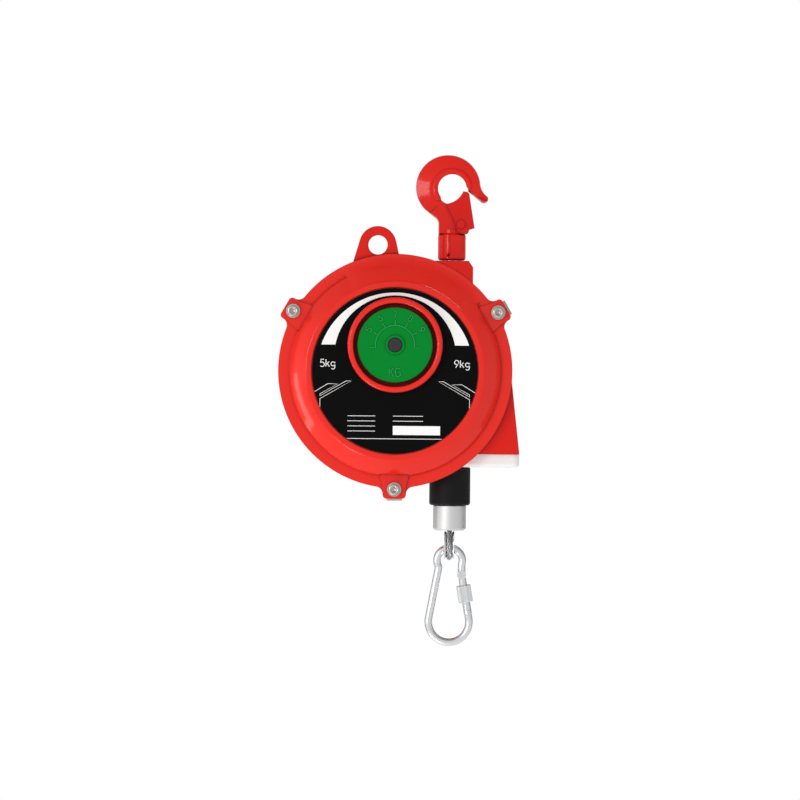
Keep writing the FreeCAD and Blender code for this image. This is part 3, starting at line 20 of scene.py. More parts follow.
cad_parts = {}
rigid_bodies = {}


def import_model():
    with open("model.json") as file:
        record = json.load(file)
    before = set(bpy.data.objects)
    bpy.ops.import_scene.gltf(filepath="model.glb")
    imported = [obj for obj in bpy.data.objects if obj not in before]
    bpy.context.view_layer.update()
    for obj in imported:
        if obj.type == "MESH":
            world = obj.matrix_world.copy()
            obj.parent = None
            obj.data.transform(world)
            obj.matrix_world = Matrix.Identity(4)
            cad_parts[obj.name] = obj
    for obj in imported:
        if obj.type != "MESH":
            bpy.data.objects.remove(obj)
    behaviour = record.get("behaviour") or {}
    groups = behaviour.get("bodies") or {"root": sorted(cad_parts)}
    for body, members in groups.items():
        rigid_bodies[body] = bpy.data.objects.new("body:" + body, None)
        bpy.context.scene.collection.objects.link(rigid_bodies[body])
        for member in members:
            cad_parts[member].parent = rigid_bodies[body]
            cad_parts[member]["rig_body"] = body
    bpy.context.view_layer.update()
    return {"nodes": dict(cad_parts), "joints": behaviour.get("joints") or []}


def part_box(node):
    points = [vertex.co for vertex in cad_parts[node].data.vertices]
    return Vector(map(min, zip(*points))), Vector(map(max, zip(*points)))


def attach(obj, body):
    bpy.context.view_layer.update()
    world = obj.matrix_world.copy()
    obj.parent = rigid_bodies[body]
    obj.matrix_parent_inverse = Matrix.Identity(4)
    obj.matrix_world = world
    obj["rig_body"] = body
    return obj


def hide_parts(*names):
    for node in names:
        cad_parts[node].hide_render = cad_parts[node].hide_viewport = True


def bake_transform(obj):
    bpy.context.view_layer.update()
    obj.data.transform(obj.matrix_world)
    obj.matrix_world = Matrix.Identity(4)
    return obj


LOG = logging.getLogger("balancer")
MM = 0.001
DIAL_COLLAR = 0.9 * MM  # how far the dial's collar stands out of its face
FLOOR_BELOW = 0.45  # the floor's depth under the hook's eye, apart from the rope's travel
FRONT_TO_BACK = Vector((0.0, 1.0, 0.0))
LAMPS_FACE = Vector((0.0, 0.0, -0.16))
PICTURE_MIDDLE = Vector((-0.0395, 0.0, -0.1655))
PICTURE_WIDE = 0.6258
ROUND_DEG = 70.0  # edges of a rounded form that bend less than this are smooth
Colour = tuple[float, float, float, float]


def linear(code: str) -> Colour:
    """Turns an sRGB hex colour into a linear one.

    Args:
        code: Six hex digits after a number sign.

    Returns:
        Red, green, blue and alpha for a shader socket.
    """
    parts = [int(code[i : i + 2], 16) / 255 for i in (1, 3, 5)]
    red, green, blue = [v / 12.92 if v <= 0.04045 else ((v + 0.055) / 1.055) ** 2.4
                        for v in parts]
    return (red, green, blue, 1.0)


def add(tree: NodeTree, kind: str, inputs: dict[Any, Any] | None = None,
        **settings: Any) -> Node:
    """Adds a node with its settings, and sets or links its inputs.

    Args:
        tree: Shader or geometry tree that gets the node.
        kind: Blender's name of the node type.
        inputs: Input name or number to a socket to link from, or a value to set.
        settings: Properties of the node itself.

    Returns:
        The new node.
    """
    node = tree.nodes.new(kind)
    for name, value in settings.items():
        setattr(node, name, value)
    for key, value in (inputs or {}).items():
        if isinstance(value, NodeSocket):
            tree.links.new(value, node.inputs[key])
        else:
            node.inputs[key].default_value = value
    return node


def maths(tree: NodeTree, operation: str, *values: Any) -> NodeSocket:
    """Adds a sum of one to three numbers and returns its result."""
    return add(tree, "ShaderNodeMath", dict(enumerate(values)), operation=operation).outputs[0]


def ramp(tree: NodeTree, value: NodeSocket, start: Any, end: Any,
         low: float = 0.0, high: float = 1.0, soft: bool = False) -> NodeSocket:
    """Maps a number from start to end onto low to high, with gentle ends if soft."""
    kind = "SMOOTHSTEP" if soft else "LINEAR"
    return add(tree, "ShaderNodeMapRange",
               {"Value": value, "From Min": start, "From Max": end, "To Min": low,
                "To Max": high}, interpolation_type=kind).outputs["Result"]


def mixed(tree: NodeTree, share: Any, first: Any, second: Any,
          colours: bool = False) -> NodeSocket:
    """Mixes two numbers or two colours and returns the result."""
    if colours:
        return add(tree, "ShaderNodeMix", {0: share, 6: first, 7: second},
                   data_type="RGBA").outputs[2]
    return add(tree, "ShaderNodeMix", {0: share, 2: first, 3: second}).outputs[0]


# --- finishes

# Painted shade in inner corners, found by ambient occlusion:
PAINTED_SHADE_REACH = 3.5 * MM  # how far a wall darkens the corner beside it
PAINTED_SHADE_DARKEST = 0.12  # share of the colour that is left in the deepest corner
GLOSS_SPREAD = 0.12  # share by which the roughness varies
EXTRA_RAYS = 6  # rays for corners and rounded edges


class Grain(Enum):
    """How a surface was made, which sets the run of its fine marks (x, y, z scale)."""

    CAST = (1.0, 1.0, 1.0)
    TURNED_ON_Z = (0.02, 0.02, 1.0)
    TURNED_ON_Y = (0.02, 1.0, 0.02)


@dataclass(frozen=True)
class Finish:
    """A finish with fine marks, a slight change of shade and of gloss over the surface.

    Attributes:
        name: Material name, after what the real one is.
        colour: sRGB hex colour.
        roughness: Middle roughness.
        marks_mm: Size of the fine marks.
        marks_high_mm: Height of the fine marks.
        grain: Direction of the marks.
        shade: Share by which the colour varies.
        patch_mm: Size of the patches in which shade and gloss vary.
        edge_mm: Radius to which the paint or polish rounds every edge, 0 for none.
        sheen: Strength of the surface's own mirror image, 0.5 for plain plastic.
        painted_corner_shade: How much darker the inner corners are made, as painted shade.
    """

    name: str
    colour: str
    roughness: float
    marks_mm: float = 0.8
    marks_high_mm: float = 0.01
    grain: Grain = Grain.CAST
    shade: float = 0.06
    patch_mm: float = 18.0
    edge_mm: float = 0.0
    sheen: float = 0.5
    painted_corner_shade: float = 0.0

    def make(self) -> Material:
        """Builds the material, or returns the one made before."""
        made = bpy.data.materials.get(self.name)
        if made is not None:
            return made
        material = bpy.data.materials.new(self.name)
        material.use_nodes = True
        tree = material.node_tree
        shader = tree.nodes["Principled BSDF"]
        where = add(tree, "ShaderNodeTexCoord").outputs["Object"]
        patches = add(tree, "ShaderNodeTexNoise",
                      {"Vector": where, "Scale": 1 / (self.patch_mm * MM),
                       "Detail": 3.0}).outputs["Fac"]
        tone = mixed(tree, patches, self.tint(1 - self.shade), self.tint(1.0), colours=True)
        # painted shade: the colour darkens towards a deep tint where ambient occlusion finds
        # walls close by
        if self.painted_corner_shade:
            unshadowed = add(tree, "ShaderNodeAmbientOcclusion", {"Distance": PAINTED_SHADE_REACH},
                           samples=EXTRA_RAYS).outputs["AO"]
            clear = ramp(tree, unshadowed, 0.3, 0.9, 1 - self.painted_corner_shade)
            tone = mixed(tree, clear, self.tint(PAINTED_SHADE_DARKEST), tone, colours=True)
        tree.links.new(tone, shader.inputs["Base Color"])
        gloss = ramp(tree, patches, 0.3, 0.7, self.roughness * (1 - GLOSS_SPREAD),
                     self.roughness * (1 + GLOSS_SPREAD))
        tree.links.new(gloss, shader.inputs["Roughness"])
        run = add(tree, "ShaderNodeMapping", {"Vector": where, "Scale": self.grain.value})
        marks = add(tree, "ShaderNodeTexNoise",
                    {"Vector": run.outputs["Vector"], "Scale": 1 / (self.marks_mm * MM),
                     "Detail": 2.0})
        relief = add(tree, "ShaderNodeBump",
                     {"Height": marks.outputs["Fac"], "Distance": self.marks_high_mm * MM,
                      "Strength": 1.0})
        if self.edge_mm:
            edge = add(tree, "ShaderNodeBevel", {"Radius": self.edge_mm * MM},
                       samples=EXTRA_RAYS)
            tree.links.new(edge.outputs["Normal"], relief.inputs["Normal"])
        tree.links.new(relief.outputs["Normal"], shader.inputs["Normal"])
        shader.inputs["Specular IOR Level"].default_value = self.sheen
        self.set_shader(shader)
        return material

    def tint(self, share: float) -> Colour:
        """Returns the finish's colour at a share of its brightness."""
        red, green, blue, _ = linear(self.colour)
        return (red * share, green * share, blue * share, 1.0)

    def set_shader(self, shader: Node) -> None:
        """Sets what is the same all over the surface, on the shader's own sockets."""
        shader.inputs["IOR"].default_value = 1.5


@dataclass(frozen=True)
class Enamel(Finish):
    """Stoved enamel: a clear top layer over colour, with a faint orange peel."""

    coat: float = 0.45
    coat_roughness: float = 0.1

    def set_shader(self, shader: Node) -> None:
        """Gives the enamel its clear top layer."""
        super().set_shader(shader)
        shader.inputs["Coat Weight"].default_value = self.coat
        shader.inputs["Coat Roughness"].default_value = self.coat_roughness


@dataclass(frozen=True)
class Moulded(Finish):
    """Moulded rubber or plastic."""

    ior: float = 1.5
    glow_mm: float = 0.0

    def set_shader(self, shader: Node) -> None:
        """Sets the plastic's index of refraction and how far light goes into it."""
        shader.inputs["IOR"].default_value = self.ior
        if self.glow_mm:
            shader.inputs["Subsurface Weight"].default_value = 0.2
            shader.inputs["Subsurface Scale"].default_value = self.glow_mm * MM


@dataclass(frozen=True)
class Metal(Finish):
    """Bare or plated metal."""

    def set_shader(self, shader: Node) -> None:
        """Makes the surface a metal."""
        shader.inputs["Metallic"].default_value = 1.0


# The three numbers are roughness, and the size and height of the fine marks in mm.

# Stoved red enamel over the die-cast case: warm red under a clear gloss.
RED_CASE = Enamel("stoved_red_enamel", "#E2261A", 0.34, 1.6, 0.012, shade=0.05, patch_mm=30.0,
                  edge_mm=1.8, sheen=0.04, painted_corner_shade=0.55)
# Painted shade: the same enamel made darker and less glossy on the rear casting and its gear
# cover, for the parts that lie back in the front cover's shadow.
RED_REAR_SHADED = replace(RED_CASE, name="red_enamel_painted_shade", colour="#D61D12", edge_mm=2.0, coat=0.25,
                   painted_corner_shade=0.6)
# Painted shade: the same red made dark, on the faces inside the dial's deep bore and in the
# roll pin's hollow.
RED_PAINTED_SHADE = Enamel("red_painted_shade", "#7C0D07", 0.5, 1.6, 0.01, edge_mm=0.4, sheen=0.04,
                  coat=0.1, painted_corner_shade=0.5)
# The same enamel over forged steel, thick and runny, so its scale marks are softer and larger.
RED_FORGING = Enamel("red_enamel_on_forging", "#DE1C10", 0.32, 3.2, 0.10, shade=0.08,
                     patch_mm=9.0, edge_mm=0.9, sheen=0.05, coat=0.36, painted_corner_shade=0.8)
# Red enamel on pressed sheet: smooth, a little darker.
RED_SHEET = Enamel("red_enamel_on_sheet", "#D4180F", 0.34, 2.0, 0.01, edge_mm=0.3, sheen=0.05,
                   coat=0.3, painted_corner_shade=0.8)
# Satin green enamel of the load dial.
GREEN_DIAL = Enamel("satin_green_enamel", "#00822B", 0.45, 0.9, 0.006, coat=0.03, shade=0.05,
                    edge_mm=0.25, sheen=0.05, painted_corner_shade=0.7)
# The same green made paler on the raised marks: a painted highlight of their lit edges.
GREEN_MARKS_HIGHLIGHT = Enamel("green_enamel_painted_highlight", "#2CAA57", 0.45, 0.9, 0.006, coat=0.05,
                     edge_mm=0.25, sheen=0.1)
# Printed polycarbonate plate: deep black with an even sheen.
BLACK_PLATE = Moulded("printed_black_plate", "#0D0D0E", 0.38, 0.4, 0.002, ior=1.58, sheen=0.02)
# Screen-printed white ink: flat and dense.
WHITE_INK = Moulded("white_screen_ink", "#F4F3F1", 0.6, 0.3, 0.002, shade=0.02, sheen=0.1)
# Moulded black rubber: broad dull sheen.
BLACK_RUBBER = Moulded("moulded_black_rubber", "#141414", 0.5, 0.7, 0.01, ior=1.52, sheen=0.12,
                       edge_mm=0.5)
# Moulded natural nylon: near white and slightly translucent.
WHITE_NYLON = Moulded("moulded_white_nylon", "#ECECEA", 0.45, 1.2, 0.006, ior=1.53, glow_mm=1.5,
                      shade=0.02, edge_mm=0.5)
# Dark grey moulded cap in the middle of the dial.
GREY_HUB = Moulded("moulded_grey_cap", "#363436", 0.5, 0.5, 0.01, edge_mm=0.3, sheen=0.1)
# Turned aluminium: pale, with fine rings round the axis.
TURNED_ALUMINIUM = Metal("turned_aluminium", "#E0E0E0", 0.48, 0.25, 0.004,
                         grain=Grain.TURNED_ON_Z, edge_mm=0.3)
# Bright zinc plate on steel: bluish white, soft mirror.
ZINC_PLATE = Metal("bright_zinc_plate", "#EBECEE", 0.24, 0.5, 0.004, shade=0.08, patch_mm=4.0)
# Zinc plate gone dull with handling: warm grey.
DULL_ZINC = Metal("dulled_zinc_plate", "#C4BDB5", 0.34, 0.5, 0.006, shade=0.15, patch_mm=3.0,
                  edge_mm=0.2)
# Galvanised wire of the rope: grey, a little duller than the plated parts.
ROPE_WIRE = Metal("galvanised_rope_wire", "#B9BABD", 0.34, 0.3, 0.004, shade=0.2, patch_mm=3.0)
# Ground and turned steel inside the case.
TURNED_STEEL = Metal("turned_steel", "#B4B4B6", 0.32, 0.3, 0.004, grain=Grain.TURNED_ON_Y)
# Oiled spring steel, blued by its hardening.
SPRING_STEEL = Metal("blued_spring_steel", "#5E6470", 0.35, 0.4, 0.003, shade=0.2)
# Sintered bronze bushes and wheels: brown gold, fine pores.
SINTERED_BRONZE = Metal("sintered_bronze", "#B08A4E", 0.42, 0.35, 0.008)
# Die-cast aluminium of the drum and barrel, unpainted.
CAST_ALUMINIUM = Metal("die_cast_aluminium", "#BFC0C2", 0.45, 0.9, 0.012)

NODE_FINISHES: dict[Finish, tuple[str, ...]] = {
    RED_CASE: ("front_cover",),
    # the rear casting and gear cover get the painted-shade copy of the case enamel
    RED_REAR_SHADED: ("rear_case", "gear_cover"),
    RED_FORGING: ("top_hook", "hook_roll_pin"),
    RED_SHEET: ("safety_latch", "latch_pin"),
    GREEN_DIAL: ("dial_disc",),
    BLACK_PLATE: ("face_plate",),
    BLACK_RUBBER: ("bumper",),
    WHITE_NYLON: ("rope_guide",),
    GREY_HUB: ("dial_hub",),
    TURNED_ALUMINIUM: ("ferrule",),
    ZINC_PLATE: ("arbor_nut", "barrel_cover", "barrel_screws", "thimble", "snap_hook", "gate",
                 "gate_pin", "screw_sleeve"),
    DULL_ZINC: ("case_screws", "screw_washers", "clip_nuts", "lug_nut", "gear_cover_screws"),
    ROPE_WIRE: ("rope_run", "rope_eye", "rope_wraps"),
    TURNED_STEEL: ("arbor", "wheel_key", "worm_shaft", "drum_bearings", "suspension_bolt"),
    SPRING_STEEL: ("main_spring", "latch_spring"),
    SINTERED_BRONZE: ("front_bush", "rear_bush", "dial_pinion", "worm_wheel", "worm_bush",
                      "thrust_washer"),
    CAST_ALUMINIUM: ("rope_drum", "spring_barrel"),
}
FINISH_OF = {node: finish for finish, nodes in NODE_FINISHES.items() for node in nodes}
# Finishes whose rounded edges the edge lamp lights.
EDGE_LIT = (RED_CASE.name, RED_REAR_SHADED.name, RED_FORGING.name)


# --- meshes

def new_piece(name: str, mesh: Mesh, finish: Finish) -> Object:
    """Puts a finished mesh in the scene with its material.

    Args:
        name: Name of the piece.
        mesh: Mesh with its place already in its points.
        finish: Finish of the whole piece.

    Returns:
        The new object, at the origin.
    """
    mesh.materials.clear()
    mesh.materials.append(finish.make())
    piece = bpy.data.objects.new(name, mesh)
    bpy.context.scene.collection.objects.link(piece)
    return piece


def finish_mesh(work: BMesh, name: str, sharp_deg: float = 32.0) -> Mesh:
    """Merges doubles, turns faces outwards and marks what stays sharp.

    Args:
        work: The mesh being built, freed afterwards.
        name: Name of the new mesh.
        sharp_deg: Edges that bend more than this stay sharp.

    Returns:
        The finished mesh.
    """
    bmesh.ops.remove_doubles(work, verts=work.verts, dist=0.002 * MM)
    bmesh.ops.recalc_face_normals(work, faces=work.faces)
    limit = radians(sharp_deg)
    for edge in work.edges:
        edge.smooth = len(edge.link_faces) == 2 and edge.calc_face_angle(pi) < limit
    for face in work.faces:
        face.smooth = True
    mesh = bpy.data.meshes.new(name)
    work.to_mesh(mesh)
    work.free()
    return mesh


def baked(piece: Object) -> Mesh:
    """Returns a plain mesh of a piece with all its modifiers applied."""
    graph = bpy.context.evaluated_depsgraph_get()
    return bpy.data.meshes.new_from_object(piece.evaluated_get(graph), depsgraph=graph)


def smooth_copy(node: str, sharp_deg: float = 28.0, flats: bool = True) -> Object:
    """Makes a merged, smoothly shaded copy of a solid, which stands for it.

    Args:
        node: Name of the solid.
        sharp_deg: Edges that bend more than this stay sharp.
        flats: Whether normals are weighted by face area, so that flats look flat.

    Returns:
        The copy.
    """
    source = bpy.data.objects[node]
    work = bmesh.new()
    work.from_mesh(source.data)
    name = node + "_skin"
    piece = new_piece(name, finish_mesh(work, name, sharp_deg), FINISH_OF[node])
    if flats:
        weighted = piece.modifiers.new("flat faces stay flat", "WEIGHTED_NORMAL")
        weighted.keep_sharp = True
        mesh = baked(piece)
        piece.modifiers.clear()
        piece.data = mesh
        piece.data.name = name
    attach(piece, source["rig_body"])
    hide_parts(node)
    return piece


def skin(work: BMesh, rings: Sequence[Sequence[Vector]], closed: bool = True) -> None:
    """Joins rings of equally many points into a wall.

    Args:
        work: Mesh being built.
        rings: Rings in order.
        closed: True fills the first and the last ring.
    """
    made = [[work.verts.new(p) for p in ring] for ring in rings]
    for low, high in zip(made, made[1:]):
        for i in range(len(low)):
            j = (i + 1) % len(low)
            work.faces.new((low[i], low[j], high[j], high[i]))
    if closed:
        work.faces.new(list(reversed(made[0])))
        work.faces.new(made[-1])


def lofted(name: str, rings: Sequence[Sequence[Vector]], finish: Finish) -> Object:
    """Makes a closed, rounded piece from rings of equally many points."""
    work = bmesh.new()
    skin(work, rings)
    return new_piece(name, finish_mesh(work, name, ROUND_DEG), finish)


def prism(outlines: Sequence[Sequence[Vector]], front: float, back: float, name: str) -> Mesh:
    """Makes flat shapes from outlines in the X-Z plane.

    Args:
        outlines: Corner points of every shape, whose Y is left out.
        front: Y of the front faces.
        back: Y of the back faces.
        name: Name of the mesh.

    Returns:
        A mesh of closed shapes.
    """
    work = bmesh.new()
    for outline in outlines:
        skin(work, [[Vector((p.x, y, p.z)) for p in outline] for y in (front, back)])
    return finish_mesh(work, name)


def outwards(angle: float) -> Vector:
    """Returns the direction at an angle in the X-Z plane, anticlockwise from the right."""
    return Vector((cos(angle), 0.0, sin(angle)))


def arc(centre: Vector, radius: float, start_deg: float, end_deg: float,
        step_deg: float = 3.0) -> list[Vector]:
    """Returns points on an arc in the X-Z plane, both ends included."""
    count = max(2, round(abs(end_deg - start_deg) / step_deg) + 1)
    angles = [radians(start_deg + (end_deg - start_deg) * i / (count - 1))
              for i in range(count)]
    return [centre + outwards(a) * radius for a in angles]


def bow(x: float, z: float, radius: float, start_deg: float, end_deg: float) -> list[Vector]:
    """Returns a round stroke of a letter, in units of a capital's height."""
    return arc(Vector((x, 0.0, z)), radius, start_deg, end_deg, 15.0)


def corners(*places: tuple[float, float]) -> list[Vector]:
    """Returns a straight-lined stroke through the given places in the X-Z plane."""
    return [Vector((x, 0.0, z)) for x, z in places]


# Single-stroke letters: every stroke in units of a capital's height, from its lower left.
GLYPHS: dict[str, list[list[Vector]]] = {
    "5": [corners((0.52, 1.0), (0.1, 1.0), (0.06, 0.56)) + bow(0.26, 0.31, 0.31, 130, -140)],
    "6": [corners((0.42, 1.0)) + bow(0.29, 0.29, 0.29, 150, 510)],
    "7": [corners((0.0, 1.0), (0.52, 1.0), (0.18, 0.0))],
    "8": [bow(0.28, 0.27, 0.27, 90, 450), bow(0.28, 0.77, 0.23, -90, 270)],
    "9": [corners((0.16, 0.0)) + bow(0.29, 0.71, 0.29, -30, 330)],
    "k": [corners((0.0, 0.0), (0.0, 1.0)), corners((0.44, 0.7), (0.02, 0.28)),
          corners((0.17, 0.42), (0.48, 0.0))],
    "g": [bow(0.27, 0.38, 0.27, 0, 360),
          corners((0.54, 0.66), (0.54, 0.0)) + bow(0.27, -0.05, 0.27, 0, -140)],
    "K": [corners((0.0, 0.0), (0.0, 1.0)), corners((0.5, 1.0), (0.03, 0.42)),
          corners((0.16, 0.58), (0.54, 0.0))],
    "G": [bow(0.3, 0.7, 0.3, 25, 180) + bow(0.3, 0.3, 0.3, 180, 360)
          + corners((0.6, 0.48), (0.34, 0.48))]}


def lettering(text: str, high: float, place: Vector, turn_deg: float = 0.0,
              gap: float = 0.22) -> list[list[Vector]]:
    """Writes single-stroke words that face the front.

    Args:
        text: What they say.
        high: Height of a capital or digit in metres.
        place: Middle of the words.
        turn_deg: Turn about the axis that faces the front, anticlockwise.
        gap: Space between letters, in capital heights.

    Returns:
        The strokes, each a line of points.
    """
    strokes, x = [], 0.0
    for letter in text:
        glyph = GLYPHS[letter]
        strokes += [[p + Vector((x, 0.0, 0.0)) for p in stroke] for stroke in glyph]
        x += max(p.x for stroke in glyph for p in stroke) + gap
    middle = Vector(((x - gap) / 2, 0.0, 0.5))
    turn = Matrix.Rotation(radians(-turn_deg), 3, "Y")
    return [[place + turn @ ((p - middle) * high) for p in stroke] for stroke in strokes]


# --- geometry nodes

class Recipe:
    """A geometry tree with named inputs, which turns an object's mesh into a finished one."""

    def __init__(self, name: str) -> None:
        """Starts an empty tree."""
        self.tree = bpy.data.node_groups.new(name, "GeometryNodeTree")
        for way in ("INPUT", "OUTPUT"):
            self.tree.interface.new_socket("Geometry", in_out=way,
                                           socket_type="NodeSocketGeometry")
        self.entry = self.tree.nodes.new("NodeGroupInput")
        self.values: dict[str, Any] = {}

    def number(self, name: str, value: float) -> NodeSocket:
        """Adds a named number and returns its socket inside the tree."""
        kind = "NodeSocketInt" if isinstance(value, int) else "NodeSocketFloat"
        item = self.tree.interface.new_socket(name, in_out="INPUT", socket_type=kind)
        self.values[item.identifier] = value
        return self.entry.outputs[name]

    def node(self, kind: str, inputs: dict[Any, Any] | None = None, out: int | str = 0,
             **settings: Any) -> NodeSocket:
        """Adds a node to the tree and returns one of its outputs."""
        return add(self.tree, kind, inputs, **settings).outputs[out]

    def sum(self, operation: str, *values: Any) -> NodeSocket:
        """Adds a sum of one or two numbers and returns its result."""
        return maths(self.tree, operation, *values)

    def bar(self, path: NodeSocket, section: NodeSocket, finish: Finish) -> None:
        """Sweeps a section along a path, closes its ends, and ends the tree in it."""
        swept = self.node("GeometryNodeCurveToMesh",
                          {"Curve": path, "Profile Curve": section, "Fill Caps": True})
        self.close(swept, finish)

    def close(self, geometry: NodeSocket, finish: Finish) -> None:
        """Ends the tree in real geometry with its material."""
        real = self.node("GeometryNodeRealizeInstances", {"Geometry": geometry})
        painted = self.node("GeometryNodeSetMaterial",
                            {"Geometry": real, "Material": finish.make()})
        add(self.tree, "NodeGroupOutput", {"Geometry": painted})

    def run(self, name: str, source: Mesh, finish: Finish, sharp_deg: float = 40.0) -> Object:
        """Applies the tree to a mesh.

        Args:
            name: Name of the piece.
            source: Mesh that the tree starts from.
            finish: Finish of the piece.
            sharp_deg: Edges that bend more than this stay sharp.

        Returns:
            The piece as a plain mesh.
        """
        holder = bpy.data.objects.new(name + "_source", source)
        bpy.context.scene.collection.objects.link(holder)
        modifier = holder.modifiers.new("recipe", "NODES")
        modifier.node_group = self.tree
        for identifier, value in self.values.items():
            modifier[identifier] = value
        bpy.context.view_layer.update()
        mesh = baked(holder)
        holder.modifiers.clear()
        bpy.data.objects.remove(holder)
        work = bmesh.new()
        work.from_mesh(mesh)
        return new_piece(name, finish_mesh(work, name, sharp_deg), finish)


def wire_mesh(points: Sequence[Vector], name: str, linked: bool = True) -> Mesh:
    """Returns a mesh of points, which edges join in order where they are linked."""
    mesh = bpy.data.meshes.new(name)
    pairs = [(i, i + 1) for i in range(len(points) - 1)] if linked else []
    mesh.from_pydata([tuple(p) for p in points], pairs, [])
    return mesh


@dataclass
class WireRope:
    """Six strands laid round a core, along any path.

    Attributes:
        radius: Outside radius of the rope.
        strands: Strands in the rope.
        lay: Length in which a strand goes once round.
        step: Spacing of the rings that make the mesh.
        sides: Corners of a strand's section.
    """

    radius: float = 2.0 * MM
    strands: int = 6
    lay: float = 26.0 * MM
    step: float = 1.0 * MM
    sides: int = 8

    def recipe(self, name: str, paid_out: float = 0.0, top: float = 0.0,
               bottom: float = 1.0) -> Recipe:
        """Builds the tree.

        Args:
            name: Name of the tree.
            paid_out: Length that the rope grows by at its limit, to keep its lay there.
            top: Height where that growth starts.
            bottom: Height where it ends.

        Returns:
            The tree, which starts from a mesh of edges.
        """
        r = Recipe(name)
        radius = r.number("Rope radius", self.radius)
        strands = r.number("Strands", self.strands)
        lay = r.number("Lay length", self.lay)
        step = r.number("Ring spacing", self.step)
        strand = r.sum("DIVIDE", radius, 3.0)  # the core and a strand at each side of it
        ring = r.sum("MULTIPLY", strand, 2.0)
        path = r.node("GeometryNodeMeshToCurve", {"Mesh": r.entry.outputs["Geometry"]})
        even = r.node("GeometryNodeResampleCurve", {"Curve": path, "Length": step},
                      mode="LENGTH")
        if paid_out:
            here = r.node("GeometryNodeInputPosition")
            height = r.node("ShaderNodeSeparateXYZ", {"Vector": here}, out="Z")
            share = ramp(r.tree, height, top, bottom, soft=True)
            along = r.sum("SUBTRACT",
                          r.sum("MULTIPLY", share, r.number("Paid out", paid_out)), height)
        else:
            along = r.node("GeometryNodeSplineParameter", out="Length")
        turns = r.sum("DIVIDE", along, lay)
        twisted = r.node("GeometryNodeSetCurveTilt",
                         {"Curve": even, "Tilt": r.sum("MULTIPLY", turns, tau)})
        circle = r.node("GeometryNodeCurvePrimitiveCircle",
                        {"Resolution": self.sides, "Radius": strand})
        places = r.node("GeometryNodeMeshCircle", {"Vertices": strands, "Radius": ring})
        outer = r.node("GeometryNodeInstanceOnPoints", {"Points": places, "Instance": circle})
        section = add(r.tree, "GeometryNodeJoinGeometry")
        for circles in (outer, circle):
            r.tree.links.new(circles, section.inputs[0])
        real = r.node("GeometryNodeRealizeInstances", {"Geometry": section.outputs[0]})
        r.bar(twisted, real, ROPE_WIRE)
        return r


def turned_copies(name: str, pattern: Mesh, points: Sequence[Vector],
                  finish: Finish, first: float, step: float) -> Object:
    """Places a copy of one mesh at each point, every copy turned further about Y.

    Args:
        name: Name of the piece.
        pattern: Mesh to copy.
        points: Where the copies go.
        finish: Finish of the piece.
        first: Turn of the first copy, in radians.
        step: Turn from copy to copy, in radians.

    Returns:
        The piece.
    """
    holder = bpy.data.objects.new(name + "_pattern", pattern)
    bpy.context.scene.collection.objects.link(holder)
    r = Recipe(name)
    shape = r.node("GeometryNodeObjectInfo", {"Object": holder}, out="Geometry")
    number = r.node("GeometryNodeInputIndex")
    angle = r.sum("ADD", r.sum("MULTIPLY", number, r.number("Turn from copy to copy", step)),
                  r.number("Turn of the first copy", first))
    spin = r.node("ShaderNodeCombineXYZ", {"Y": angle})
    copies = r.node("GeometryNodeInstanceOnPoints",
                    {"Points": r.entry.outputs["Geometry"], "Instance": shape,
                     "Rotation": spin, "Scale": r.number("Size", 1.0)})
    r.close(copies, finish)
    piece = r.run(name, wire_mesh(points, name, linked=False), finish)
    bpy.data.objects.remove(holder)
    return piece


def line_work(name: str, lines: Sequence[Sequence[Vector]], centre: Vector, wide: float,
              high: float, finish: Finish) -> Object:
    """Sweeps thin bars along lines that lie on a face turned to the front.

    Args:
        name: Name of the piece.
        lines: Points of every line, whose Y is left out.
        centre: Point of the face.
        wide: Width of a line.
        high: How far it stands out of the face; as much is sunk in it.
        finish: Finish of the lines.

    Returns:
        The piece.
    """
    r = Recipe("raised_lines")
    path = r.node("GeometryNodeMeshToCurve", {"Mesh": r.entry.outputs["Geometry"]})
    upright = r.node("GeometryNodeSetCurveNormal", {"Curve": path}, mode="Z_UP")
    section = r.node("GeometryNodeCurvePrimitiveQuadrilateral",
                     {"Width": r.number("Line width", wide),
                      "Height": r.number("Line height", high * 2)})
    r.bar(upright, section, finish)
    work = bmesh.new()
    for line in lines:
        made = [work.verts.new((p.x - centre.x, p.z - centre.z, 0.0)) for p in line]
        for pair in zip(made, made[1:]):
            work.edges.new(pair)
        bmesh.ops.remove_doubles(work, verts=made, dist=0.01 * MM)
    mesh = bpy.data.meshes.new(name + "_path")
    work.to_mesh(mesh)
    work.free()
    piece = r.run(name, mesh, finish)
    piece.data.transform(Matrix.Translation(centre) @ Matrix.Rotation(radians(90), 4, "X"))
    return piece


def ridged_ring(radius: float, level: float, sides: int, ridge: float = 0.0,
                flats: int = 0) -> list[Vector]:
    """Makes one ring round the Y axis.

    Args:
        radius: Its radius, or half its width across flats.
        level: Its Y place.
        sides: Points in the ring, an even number.
        ridge: Depth of the groove at every second point.
        flats: Number of flats, 0 for a round ring.

    Returns:
        The ring's points.
    """
    points = []
    for i in range(sides):
        angle = tau * i / sides
        reach = radius - ridge * (i % 2)
        if flats:
            part = tau / flats
            reach = radius / cos((angle + part / 2) % part - part / 2)
        points.append(Vector((cos(angle) * reach, level, sin(angle) * reach)))
    return points


# --- pieces

